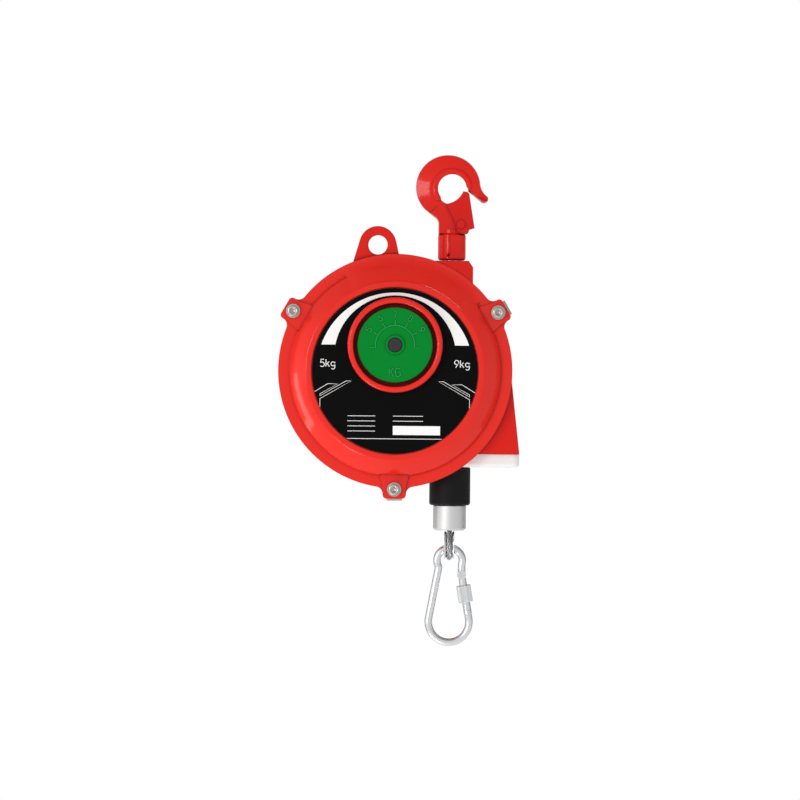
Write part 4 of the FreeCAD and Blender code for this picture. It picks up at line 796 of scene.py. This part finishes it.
@dataclass
class Case:
    """Two enamelled castings with their small cover and the rope guide.

    Attributes:
        dial: Point of the dial's axis.
        bore: Radius of the bore in which the dial lies, inside which faces get the painted
            shade.
        lip: Depth behind which the bore's faces get the dark red of painted shade instead of
            the enamel.
    """

    dial: Vector
    bore: float = 33.4 * MM
    lip: float = -50.4 * MM

    def build(self) -> list[Object]:
        """Makes the smooth skins of the castings and of the rope guide, with painted shade
        inside the dial's bore.
        """
        cover = smooth_copy("front_cover")
        # painted shade: faces inside the dial's bore, behind the lip, get a dark red in place
        # of the enamel
        cover.data.materials.append(RED_PAINTED_SHADE.make())
        for face in cover.data.polygons:
            out = face.center - self.dial
            if hypot(out.x, out.z) < self.bore and face.center.y > self.lip:
                face.material_index = 1
        return [cover, *map(smooth_copy, ("rear_case", "gear_cover", "rope_guide"))]


@dataclass
class FacePlate:
    """Black plate with a printed load scale and an empty data table.

    Attributes:
        centre: Middle of the plate on its front face.
        ink: How far the ink stands proud.
        outer_arc: Radius of the scale band's outer edge, round the plate's middle.
        inner_arc: Radius of its inner edge, round a point that lies higher.
        inner_rise: How much higher that point lies.
        band_end: Height of the band's ends above the plate's middle.
        rule: Width of a ruled line.
        rows: Heights of the table's rows in mm, of which the last two have no right half.
        folds: Corners in mm of the folded line at the right, which is mirrored at the left.
    """

    centre: Vector
    ink: float = 0.04 * MM
    outer_arc: float = 60.6 * MM
    inner_arc: float = 47.1 * MM
    inner_rise: float = 11.3 * MM
    band_end: float = 20.0 * MM
    rule: float = 0.42 * MM
    letter_high: float = 5.6 * MM
    letter_wide: float = 0.6 * MM
    letter_rise: float = 5.7
    rows: tuple[float, ...] = (-35.0, -38.9, -42.8, -46.7)
    folds: tuple[tuple[float, float], ...] = (
        (62.2, -16.6), (51.9, -10.3), (44.3, -10.4), (57.9, -18.2), (57.9, -19.8),
        (37.6, -8.0), (34.0, -8.1), (57.9, -21.9), (57.9, -28.4))

    def at(self, x: float, z: float) -> Vector:
        """Returns a point of the plate from millimetres right of and above its middle."""
        return self.centre + Vector((x * MM, 0.0, z * MM))

    def line(self, *places: tuple[float, float]) -> list[Vector]:
        """Returns a line through places given in millimetres."""
        return [self.at(x, z) for x, z in places]

    def band(self) -> list[Vector]:
        """Returns the outline of the band that widens from its top to both its ends."""
        outer_end = degrees(asin(self.band_end / self.outer_arc))
        inner_end = degrees(asin((self.band_end - self.inner_rise) / self.inner_arc))
        lifted = self.centre + Vector((0.0, 0.0, self.inner_rise))
        return (arc(self.centre, self.outer_arc, outer_end, 180 - outer_end)
                + arc(lifted, self.inner_arc, 180 - inner_end, inner_end))

    def rules(self) -> list[list[Vector]]:
        """Returns the empty table's rows, its closing line and the folded side lines."""
        made = [self.line((-36.6, -52.6), (36.6, -52.6))]
        made += [self.line((-36.4, row), (-15.0, row)) for row in self.rows]
        made += [self.line((-1.3, row), (22.0, row)) for row in self.rows[:2]]
        return made + [self.line(*((way * x, z) for x, z in self.folds)) for way in (-1, 1)]

    def build(self) -> list[Object]:
        """Makes the plate and everything printed on it."""
        plate = smooth_copy("face_plate")
        limits = [stroke for text, x in (("5kg", -52.2), ("9kg", 51.8))
                  for stroke in lettering(text, self.letter_high,
                                          self.at(x, self.letter_rise))]
        field = self.line((-1.3, -42.6), (35.3, -42.6), (35.3, -49.6), (-1.3, -49.6))
        areas = prism([self.band(), field], self.centre.y - self.ink,
                      self.centre.y + self.ink, "plate_print")
        ink = [new_piece("plate_print", areas, WHITE_INK),
               line_work("plate_limits", limits, self.centre, self.letter_wide, self.ink,
                         WHITE_INK),
               line_work("plate_rules", self.rules(), self.centre, self.rule, self.ink,
                         WHITE_INK)]
        for piece in ink:
            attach(piece, "case")
        return [plate, *ink]


@dataclass
class LoadDial:
    """Green dial with a raised scale from 5 to 9 and its grey cap.

    Attributes:
        centre: Point of the dial's axis on the disc's face.
        raised: How far the marks stand out.
        digit_at: Radius of the circle on which the digits stand.
        scale_radius: Radius of the scale's half circle.
        tick_end: Radius at which the ticks end.
        foot_deg: How far the half circle goes on at both ends.
        unit_at: How far the unit stands below the middle.
        first_deg: Angle of the first digit.
        step_deg: Angle from digit to digit.
    """

    centre: Vector
    raised: float = 0.5 * MM
    digit_high: float = 4.8 * MM
    digit_at: float = 23.8 * MM
    scale_radius: float = 15.2 * MM
    tick_end: float = 19.4 * MM
    line_wide: float = 0.55 * MM
    unit_high: float = 6.4 * MM
    unit_at: float = 21.2 * MM
    first_deg: float = 150.0
    step_deg: float = 30.0
    foot_deg: float = 8.4
    digits: tuple[str, ...] = ("5", "6", "7", "8", "9")

    def out(self, radius: float, angle_deg: float) -> Vector:
        """Returns a point of the dial's face from its radius and angle."""
        return self.centre + outwards(radians(angle_deg)) * radius

    def strokes(self) -> list[list[Vector]]:
        """Returns the half circle with its feet, the ticks, the digits and the unit."""
        curve = arc(self.centre, self.scale_radius, -self.foot_deg, 180 + self.foot_deg)
        foot = Vector((self.tick_end - self.scale_radius, 0.0, 0.0))
        lines = [[curve[0] + foot, *curve, curve[-1] - foot]]
        words = lettering("KG", self.unit_high, self.out(self.unit_at, -90.0))
        for number, digit in enumerate(self.digits):
            angle = self.first_deg - number * self.step_deg
            lines.append([self.out(self.scale_radius, angle), self.out(self.tick_end, angle)])
            words += lettering(digit, self.digit_high, self.out(self.digit_at, angle),
                               angle - 90)
        return lines + words

    def build(self) -> list[Object]:
        """Makes the disc, its raised marks and the cap."""
        disc = smooth_copy("dial_disc")
        # the raised marks get a paler green, a painted highlight
        marks = line_work("dial_marks", self.strokes(), self.centre, self.line_wide,
                          self.raised, GREEN_MARKS_HIGHLIGHT)
        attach(marks, "dial")
        return [disc, marks, smooth_copy("dial_hub")]


@dataclass
class SocketScrew:
    """Socket-head cap screw with a knurled head, its seat at Y 0 and its head towards -Y.

    Attributes:
        shank_long: Length under the head.
        socket_half: Half the socket's width across flats.
        ridges: Ridges of the knurl.
    """

    shank_long: float
    shank_radius: float = 2.3 * MM
    head_radius: float = 4.25 * MM
    head_high: float = 5.0 * MM
    socket_half: float = 2.0 * MM
    socket_deep: float = 2.6 * MM
    chamfer: float = 0.3 * MM
    ridges: int = 36

    def mesh(self) -> Mesh:
        """Builds the screw from rings, from the shank's end to the socket's floor."""
        n, head, top = self.ridges * 2, self.head_radius, -self.head_high
        soft, knurl = 0.12 * head, 0.035 * head
        shank, half, edge = self.shank_radius, self.socket_half, self.chamfer
        floor = top + self.socket_deep
        work = bmesh.new()
        skin(work, [
            # shank, from its chamfered end to the head
            ridged_ring(shank * 0.85, self.shank_long, n),
            ridged_ring(shank, self.shank_long - 0.4 * MM, n),
            ridged_ring(shank, 0.0, n),
            # head, knurled up to its rounded top
            ridged_ring(head - edge, 0.0, n),
            ridged_ring(head, -edge, n, knurl),
            ridged_ring(head, top + soft * 1.6, n, knurl),
            ridged_ring(head - soft * 0.3, top + soft * 0.5, n),
            ridged_ring(head - soft, top, n),
            # socket, from its countersink to its conical floor
            ridged_ring(half * 1.32, top, n),
            ridged_ring(half, top + 0.35 * MM, n, flats=6),
            ridged_ring(half, floor, n, flats=6),
            ridged_ring(half * 0.3, floor + half * 0.4, n)])
        return finish_mesh(work, "socket_screw")


@dataclass
class Fastenings:
    """Three case screws with washers and clip nuts, and the small cover screws.

    Attributes:
        axis: Point of the drum's axis.
        circle: Radius of the circle on which the case screws stand.
        first_turn: Turn of the first screw's socket, in radians.
        next_turn: Turn from screw to screw, as they are never set alike.
    """

    axis: Vector
    circle: float = 92.0 * MM
    angles_deg: tuple[float, ...] = (-90.0, 30.0, 150.0)
    first_turn: float = 0.35
    next_turn: float = 1.3

    def build(self) -> list[Object]:
        """Makes the screws and dresses what is under them."""
        low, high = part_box("case_screws")
        seat = low.y + SocketScrew.head_high
        screw = SocketScrew(high.y - seat).mesh()
        middle = Vector((self.axis.x, seat, self.axis.z))
        places = [middle + outwards(radians(a)) * self.circle for a in self.angles_deg]
        screws = turned_copies("case_screw_set", screw, places, DULL_ZINC, self.first_turn,
                               self.next_turn)
        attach(screws, "case")
        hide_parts("case_screws")
        return [screws, *map(smooth_copy, ("screw_washers", "clip_nuts", "lug_nut",
                                           "gear_cover_screws"))]


@dataclass
class SwivelHook:
    """Forged hook with its painted latch and pins, and the runs in its paint.

    Attributes:
        barrel: Radius of the barrel under the hook.
        run_at: How far right of the axis the paint has run.
        run_deep: Depth of the run, as a share of its width.
        run: Height and half width in mm of the run, from its top to the drop's end.
        plug: Share of the roll pin's width that is its hollow.
        plug_from: How far behind the pin's front end the dark plug of painted shade in it
            begins.
        plug_to: How far behind that end it stops.
        bead_radius: Radius of the rim's middle line, round the hook's eye.
        bead_half: Half the rim's width.
        bead_high: How far it stands out.
        bead_deg: Angles at which it starts and ends.
        bead_steps: Rings along the rim.
        bead_taper: How many of them run out at each end.
        well_ahead: How far in front of the hook its skin is looked for.
        sides: Corners of a ring.
    """

    barrel: float = 10.8 * MM
    run_at: float = -2.1 * MM
    run_deep: float = 0.8
    run: tuple[tuple[float, float], ...] = (
        (-36.0, 0.3), (-36.8, 0.8), (-38.5, 0.95), (-41.0, 0.75), (-45.5, 0.7), (-48.0, 0.95),
        (-49.6, 1.15), (-50.8, 0.95), (-51.5, 0.35))
    plug: float = 0.7
    plug_from: float = 0.8 * MM
    plug_to: float = 2.0 * MM
    bead_radius: float = 13.4 * MM
    bead_half: float = 2.3 * MM
    bead_high: float = 1.5 * MM
    bead_deg: tuple[float, float] = (-8.0, 232.0)
    bead_steps: int = 84
    bead_taper: int = 6
    well_ahead: float = 0.1
    sides: int = 20

    def oval(self, centre: Vector, half: Vector, deep: float) -> list[Vector]:
        """Returns a ring, which is half wide to its side and deep along Y."""
        turns = [tau * i / self.sides for i in range(self.sides)]
        return [centre + half * cos(t) + FRONT_TO_BACK * (sin(t) * deep) for t in turns]

    def bead(self, hook: Object) -> Object:
        """Makes the rim that the forging keeps round its opening, laid on the hook's skin."""
        rings, last = [], self.bead_steps
        start, end = map(radians, self.bead_deg)
        for i in range(last + 1):
            out = outwards(start + (end - start) * i / last)
            over = out * self.bead_radius - FRONT_TO_BACK * self.well_ahead
            found, place, _, _ = hook.ray_cast(over, FRONT_TO_BACK)
            full = min(1.0, (min(i, last - i) + 0.6) / self.bead_taper)
            rings.append(self.oval(place if found else out * self.bead_radius,
                                   out * (self.bead_half * full), self.bead_high * full))
        return lofted("hook_rim", rings, RED_FORGING)

    def paint_run(self) -> Object:
        """Makes the thick run of paint down the barrel's front, with its drop."""
        front = -sqrt(self.barrel ** 2 - self.run_at ** 2)
        rings = [self.oval(Vector((self.run_at, front, level * MM)),
                           Vector((half * MM, 0.0, 0.0)), half * self.run_deep * MM)
                 for level, half in self.run]
        return lofted("paint_run", rings, RED_FORGING)

    def pin_plug(self) -> Object:
        """Makes a dark red plug in the roll pin's hollow, a painted shade of the hole."""
        low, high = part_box("hook_roll_pin")
        outline = arc((low + high) / 2, (high.x - low.x) / 2 * self.plug, 0, 345, 15.0)
        # painted shade: a dark red plug stands in for the shadow inside the pin's hollow
        mesh = prism([outline], low.y + self.plug_from, low.y + self.plug_to, "pin_plug")
        return new_piece("pin_plug", mesh, RED_PAINTED_SHADE)

    def build(self) -> list[Object]:
        """Makes the smooth skins of the hook and its latch, the paint on them and the painted
        shade in the roll pin's hollow.
        """
        made = [smooth_copy("top_hook", 35.0)]
        made += map(smooth_copy, ("safety_latch", "latch_pin", "latch_spring", "hook_roll_pin"))
        for piece in (self.bead(made[0]), self.paint_run(), self.pin_plug()):
            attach(piece, "hook")
            made.append(piece)
        return made


@dataclass
class RopeLine:
    """Wire rope with its rubber bumper, ferrule, eye and thimble.

    Attributes:
        eye: Middle of the rope's eye.
        travel: Length that the rope can be pulled out by.
        eye_radius: Radius of the rope's path round the thimble.
        neck_radius: Radius of the bend with which each leg leaves the ferrule.
        leg_apart: How far each leg is from the middle.
        leg_bottom: How far above the ferrule's end the legs begin to bend.
        leg_high: How far the legs reach up from there.
        fine: Rings of the free run.
    """

    eye: Vector
    travel: float
    eye_radius: float = 10.0 * MM
    neck_radius: float = 5.0 * MM
    leg_apart: float = 2.2 * MM
    leg_bottom: float = 3.5 * MM
    leg_high: float = 8.0 * MM
    fine: int = 700

    @staticmethod
    def bent(centre: Vector, radius: float, start_deg: float, end_deg: float,
             steps: int) -> list[Vector]:
        """Returns points of a bend in the Y-Z plane, both ends included."""
        flat = arc(Vector(), radius, start_deg, end_deg, abs(end_deg - start_deg) / steps)
        return [centre + p.yxz for p in flat]

    def eye_path(self) -> list[Vector]:
        """Returns the rope's path down from the ferrule, round the thimble and back up."""
        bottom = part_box("ferrule")[0].z + self.leg_bottom
        neck = Vector((0.0, self.leg_apart + self.neck_radius, bottom))
        gap = Vector((0.0, -neck.y, self.eye.z - neck.z))
        distance = hypot(gap.y, gap.z)
        lean = asin((self.eye_radius + self.neck_radius) / distance)
        turn = degrees(atan2(gap.z, gap.y) + lean) + 90
        side = [Vector((0.0, self.leg_apart, bottom + self.leg_high))]
        side += self.bent(neck, self.neck_radius, 180.0, 180.0 + turn, 8)
        round_eye = self.bent(self.eye, self.eye_radius, turn, -180.0 - turn, 48)
        return side + round_eye + [Vector((p.x, -p.y, p.z)) for p in reversed(side)]

    def build(self) -> list[Object]:
        """Makes the stranded rope and the pieces on it."""
        low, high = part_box("rope_run")
        step = (high.z - low.z) / self.fine
        points = [Vector((0.0, 0.0, high.z - step * i)) for i in range(self.fine + 1)]
        run = WireRope(step=step, sides=6).recipe("rope_paid_out", self.travel, high.z, low.z)
        free = run.run("rope_free_run", wire_mesh(points, "rope_free_path"), ROPE_WIRE, 60.0)
        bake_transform(free)
        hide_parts("rope_run")
        eye = WireRope(step=0.8 * MM).recipe("rope_eye_lay").run(
            "rope_eye_strands", wire_mesh(self.eye_path(), "rope_eye_path"), ROPE_WIRE, 60.0)
        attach(eye, "line")
        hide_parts("rope_eye")
        return [free, eye, smooth_copy("bumper"), smooth_copy("ferrule"),
                smooth_copy("thimble", 50.0, flats=False)]


@dataclass
class SnapHook:
    """Pear-shaped snap hook with a threaded gate and a knurled sleeve.

    Attributes:
        hinge: Gate hinge.
        along: Direction of the gate away from its hinge.
        sleeve_start: Distance of the sleeve from the hinge.
        collar: Height of the sleeve's plain edges.
        knurl: Depth of its knurl.
        ridges: Ridges of its knurl.
        thread_start: Distance of the thread from the hinge.
        thread_short: How far the thread stops before the gate's end.
        thread_ridge: Half the height of a thread's ridge, as a share of its pitch.
    """

    hinge: Vector
    along: Vector
    sleeve_start: float = 8.0 * MM
    sleeve_long: float = 13.5 * MM
    sleeve_radius: float = 5.6 * MM
    bore_radius: float = 3.35 * MM
    ridges: int = 56
    thread_start: float = 22.2 * MM
    thread_pitch: float = 1.0 * MM
    thread_radius: float = 3.03 * MM
    thread_short: float = 1.6 * MM
    thread_ridge: float = 0.28
    collar: float = 0.6 * MM
    chamfer: float = 0.3 * MM
    knurl: float = 0.18 * MM

    def placed(self, start: float) -> Matrix:
        """Returns the move from a drawing along Y to a place along the gate."""
        turn = FRONT_TO_BACK.rotation_difference(self.along).to_matrix().to_4x4()
        return Matrix.Translation(self.hinge + self.along * start) @ turn

    def sleeve(self) -> Object:
        """Makes the screw sleeve, knurled between two plain collars."""
        n, r, long = self.ridges * 2, self.sleeve_radius, self.sleeve_long
        soft, bore, edge = self.collar, self.bore_radius, self.chamfer
        rings = [
            ridged_ring(bore, edge, n), ridged_ring(bore + edge, 0.0, n),
            ridged_ring(r - soft, 0.0, n), ridged_ring(r, soft, n, self.knurl),
            ridged_ring(r, long - soft, n, self.knurl), ridged_ring(r - soft, long, n),
            ridged_ring(bore + edge, long, n), ridged_ring(bore, long - edge, n)]
        work = bmesh.new()
        skin(work, rings + [rings[0]], closed=False)
        piece = new_piece("knurled_sleeve", finish_mesh(work, "knurled_sleeve", 20.0),
                          ZINC_PLATE)
        piece.data.transform(self.placed(self.sleeve_start))
        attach(piece, "screw_sleeve")
        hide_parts("screw_sleeve")
        return piece

    def thread(self, end: float) -> Object:
        """Winds the gate's thread, which ends at the given distance from the hinge."""
        long = end - self.thread_start
        r = Recipe("thread")
        length = r.number("Length", long)
        radius = r.number("Radius", self.thread_radius)
        pitch = r.number("Pitch", self.thread_pitch)
        helix = r.node("GeometryNodeCurveSpiral",
                       {"Resolution": 20, "Rotations": r.sum("DIVIDE", length, pitch),
                        "Start Radius": radius, "End Radius": radius, "Height": length})
        ridge = r.node("GeometryNodeCurvePrimitiveCircle",
                       {"Resolution": 4,
                        "Radius": r.sum("MULTIPLY", pitch, self.thread_ridge)})
        r.bar(helix, ridge, ZINC_PLATE)
        piece = r.run("gate_thread", wire_mesh([Vector()], "thread_seed"), ZINC_PLATE, 60.0)
        stand = Matrix.Rotation(radians(-90), 4, "X")
        piece.data.transform(self.placed(self.thread_start) @ stand)
        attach(piece, "gate")
        return piece

    def build(self) -> list[Object]:
        """Makes the hook, gate, thread, pin and sleeve."""
        end = (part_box("gate")[0].z - self.hinge.z) / self.along.z - self.thread_short
        made = [smooth_copy(node, 50.0, flats=False)
                for node in ("snap_hook", "gate", "gate_pin")]
        made += [self.sleeve(), self.thread(end)]
        return made


# --- stage and view

@dataclass
class Studio:
    """White surroundings, three soft lamps, two grey cards and a floor far below.

    Attributes:
        middle: Point that the lamps face.
        painted: Pieces whose rounded edges the lamp at the left edge lights.
        floor: Height of the floor, under the rope's longest reach.
        fill: Light of the surroundings.
        from_below: How much brighter they are below than in the middle.
        front: What is mirrored from behind the camera.
        around: What is mirrored from elsewhere.
        back: Share of that which is mirrored from behind the object.
        slope: The way in which that grows brighter, to below left.
        floor_reach: Half the floor's width.
        floor_glow: What the floor adds to white for the camera alone.
        card_at: How far the cards stand out to the sides, and how far back.
        card_half: Half their width and height.
    """

    middle: Vector
    painted: Sequence[Object]
    floor: float
    fill: float = 0.96
    from_below: float = 0.26
    front: float = 0.75
    around: float = 0.95
    back: float = 0.45
    slope: Vector = Vector((-0.20, 0.0, -0.75))
    floor_reach: float = 12.0
    floor_glow: float = 0.2
    card_at: tuple[float, float] = (1.5, 0.5)
    card_half: tuple[float, float] = (0.25, 1.0)

    def world(self) -> None:
        """Makes a world that shows white and lights softly, a little more from below left."""
        world = bpy.data.worlds.new("white_studio")
        bpy.context.scene.world = world
        world.use_nodes = True
        tree = world.node_tree
        tree.nodes.clear()
        ray = add(tree, "ShaderNodeLightPath").outputs
        way = add(tree, "ShaderNodeTexCoord").outputs["Generated"]
        part = add(tree, "ShaderNodeSeparateXYZ", {"Vector": way}).outputs
        soft = maths(tree, "MULTIPLY_ADD", part["Z"], -self.from_below, self.fill)
        grow = add(tree, "ShaderNodeVectorMath", {0: way, 1: self.slope},
                   operation="DOT_PRODUCT").outputs["Value"]
        # how far a ray turns away from the camera's side, and towards the far side
        ahead = ramp(tree, part["Y"], -0.97, -0.6, soft=True)
        behind = ramp(tree, part["Y"], 0.0, 0.9, 1.0, self.back, soft=True)
        sides = maths(tree, "MULTIPLY", maths(tree, "ADD", grow, self.around), behind)
        mirrored = mixed(tree, ahead, self.front, sides)
        lit = mixed(tree, ray["Is Glossy Ray"], soft, mirrored)
        plain = maths(tree, "MAXIMUM", ray["Is Camera Ray"], ray["Is Transmission Ray"])
        light = add(tree, "ShaderNodeBackground", {"Color": linear("#FFFFFF"),
                                                   "Strength": mixed(tree, plain, lit, 1.0)})
        add(tree, "ShaderNodeOutputWorld", {"Surface": light.outputs[0]})

    def lamp(self, name: str, place: tuple[float, float, float], size: float,
             watts: float) -> Object:
        """Hangs a square soft lamp that faces the object."""
        data = bpy.data.lights.new(name, "AREA")
        data.shape = "SQUARE"
        data.size = size
        data.energy = watts
        lamp = bpy.data.objects.new(name, data)
        put(lamp, self.middle + Vector(place), (-Vector(place)).to_track_quat("-Z", "Y"))
        return lamp

    def sheet(self, name: str, middle: Vector, half: Vector, other: Vector,
              finish: Finish) -> Object:
        """Puts up a rectangle that belongs to the stage, from its middle and two half sides."""
        mesh = bpy.data.meshes.new(name)
        mesh.from_pydata([middle - half - other, middle + half - other, middle + half + other,
                          middle - half + other], [], [(0, 1, 2, 3)])
        sheet = new_piece(name, mesh, finish)
        return sheet

    def build(self) -> None:
        """Sets up world, lamps, cards and floor."""
        self.world()
        self.lamp("key_lamp", (-1.2, -1.8, 0.25), 0.6, 8.0)
        edge = self.lamp("edge_lamp", (-1.6, 0.5, -0.5), 1.0, 12.0)
        lit = bpy.data.collections.new("painted_pieces")
        edge.light_linking.receiver_collection = lit
        for piece in self.painted:
            lit.objects.link(piece)
        self.lamp("low_lamp", (-0.8, -0.7, -1.25), 0.6, 7.5)
        (aside, behind), (half_wide, half_high) = self.card_at, self.card_half
        for name, way in (("left_card", -1), ("right_card", 1)):
            place = Vector((way * aside, behind, 0.0))
            across = Vector((-place.y, place.x, 0.0)).normalized() * half_wide
            card = self.sheet(name, self.middle + place, across, Vector((0.0, 0.0, half_high)),
                              Moulded(name, "#606060", 0.9))
            # the cards are seen in reflections alone
            card.visible_camera = card.visible_shadow = card.visible_diffuse = False
        reach = self.floor_reach
        floor = self.sheet("floor", Vector((0.0, 0.0, self.floor)), Vector((reach, 0.0, 0.0)),
                           Vector((0.0, reach, 0.0)),
                           Moulded("white_floor", "#FFFFFF", 0.8, shade=0.0, sheen=0.0))
        tree = floor.data.materials[0].node_tree
        camera_ray = add(tree, "ShaderNodeLightPath").outputs["Is Camera Ray"]
        shader = tree.nodes["Principled BSDF"]
        shader.inputs["Emission Color"].default_value = linear("#FFFFFF")
        tree.links.new(maths(tree, "MULTIPLY", camera_ray, self.floor_glow),
                       shader.inputs["Emission Strength"])


def put(item: Object, place: Vector, turn: Quaternion) -> None:
    """Puts a lamp or a camera in the scene, at a place and with a turn."""
    item.location = place
    item.rotation_mode = "QUATERNION"
    item.rotation_quaternion = turn
    bpy.context.scene.collection.objects.link(item)


@dataclass
class ViewCamera:
    """Long lens at the viewing angle: a little from the right, level with the case.

    Attributes:
        aim: Point in the middle of the picture.
        wide: Width of the picture at the aim.
    """

    aim: Vector
    wide: float
    right_deg: float = 0.8
    roll_deg: float = 0.5
    distance: float = 4.0
    sensor: float = 36.0

    def build(self) -> None:
        """Makes the camera and sets it as the scene's."""
        data = bpy.data.cameras.new("view_camera")
        data.sensor_width = self.sensor
        data.lens = self.sensor * self.distance / self.wide
        data.clip_end = 100.0
        camera = bpy.data.objects.new("view_camera", data)
        turn = radians(self.right_deg)
        back = Vector((sin(turn), -cos(turn), 0.0))
        roll = Matrix.Rotation(radians(self.roll_deg), 4, "Z").to_quaternion()
        put(camera, self.aim + back * self.distance, (-back).to_track_quat("-Z", "Y") @ roll)
        bpy.context.scene.camera = camera


# --- build

def dress_solids(nodes: dict[str, Object]) -> None:
    """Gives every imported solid, by its node's name, the finish of what it is made of."""
    for name, finish in FINISH_OF.items():
        nodes[name].data.materials.clear()
        nodes[name].data.materials.append(finish.make())


def main() -> None:
    """Loads the frame, builds every piece on it, and sets the stage and the view."""
    logging.basicConfig(level=logging.INFO, format="%(name)s: %(message)s")
    bpy.ops.wm.read_factory_settings(use_empty=True)
    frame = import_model()
    joints = {joint["name"]: joint for joint in frame["joints"]}
    bpy.context.scene.view_settings.view_transform = "Standard"
    dress_solids(frame["nodes"])
    plate_low, plate_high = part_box("face_plate")
    plate = (plate_low + plate_high) / 2
    plate.y = plate_low.y
    dial = Vector(joints["dial_turn"]["pos_m"])
    dial.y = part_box("dial_disc")[0].y + DIAL_COLLAR
    thimble_low, thimble_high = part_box("thimble")
    travel = joints["rope_travel"]["range_m"][1]
    gate_way = Vector(joints["sleeve_travel"]["axis"]).normalized()
    groups = [Case(dial), FacePlate(plate), LoadDial(dial),
              Fastenings(Vector(joints["drum_spin"]["pos_m"])), SwivelHook(),
              RopeLine((thimble_low + thimble_high) / 2, travel),
              SnapHook(Vector(joints["gate_pivot"]["pos_m"]), gate_way)]
    painted = []
    for group in groups:
        for piece in group.build():
            if piece.data.materials[0].name in EDGE_LIT:
                painted.append(piece)
            LOG.info("%s: %s, %d faces", type(group).__name__, piece.name,
                     len(piece.data.polygons))
    Studio(LAMPS_FACE, painted, -(travel + FLOOR_BELOW)).build()
    ViewCamera(PICTURE_MIDDLE, PICTURE_WIDE).build()


if __name__ == "__main__":
    main()
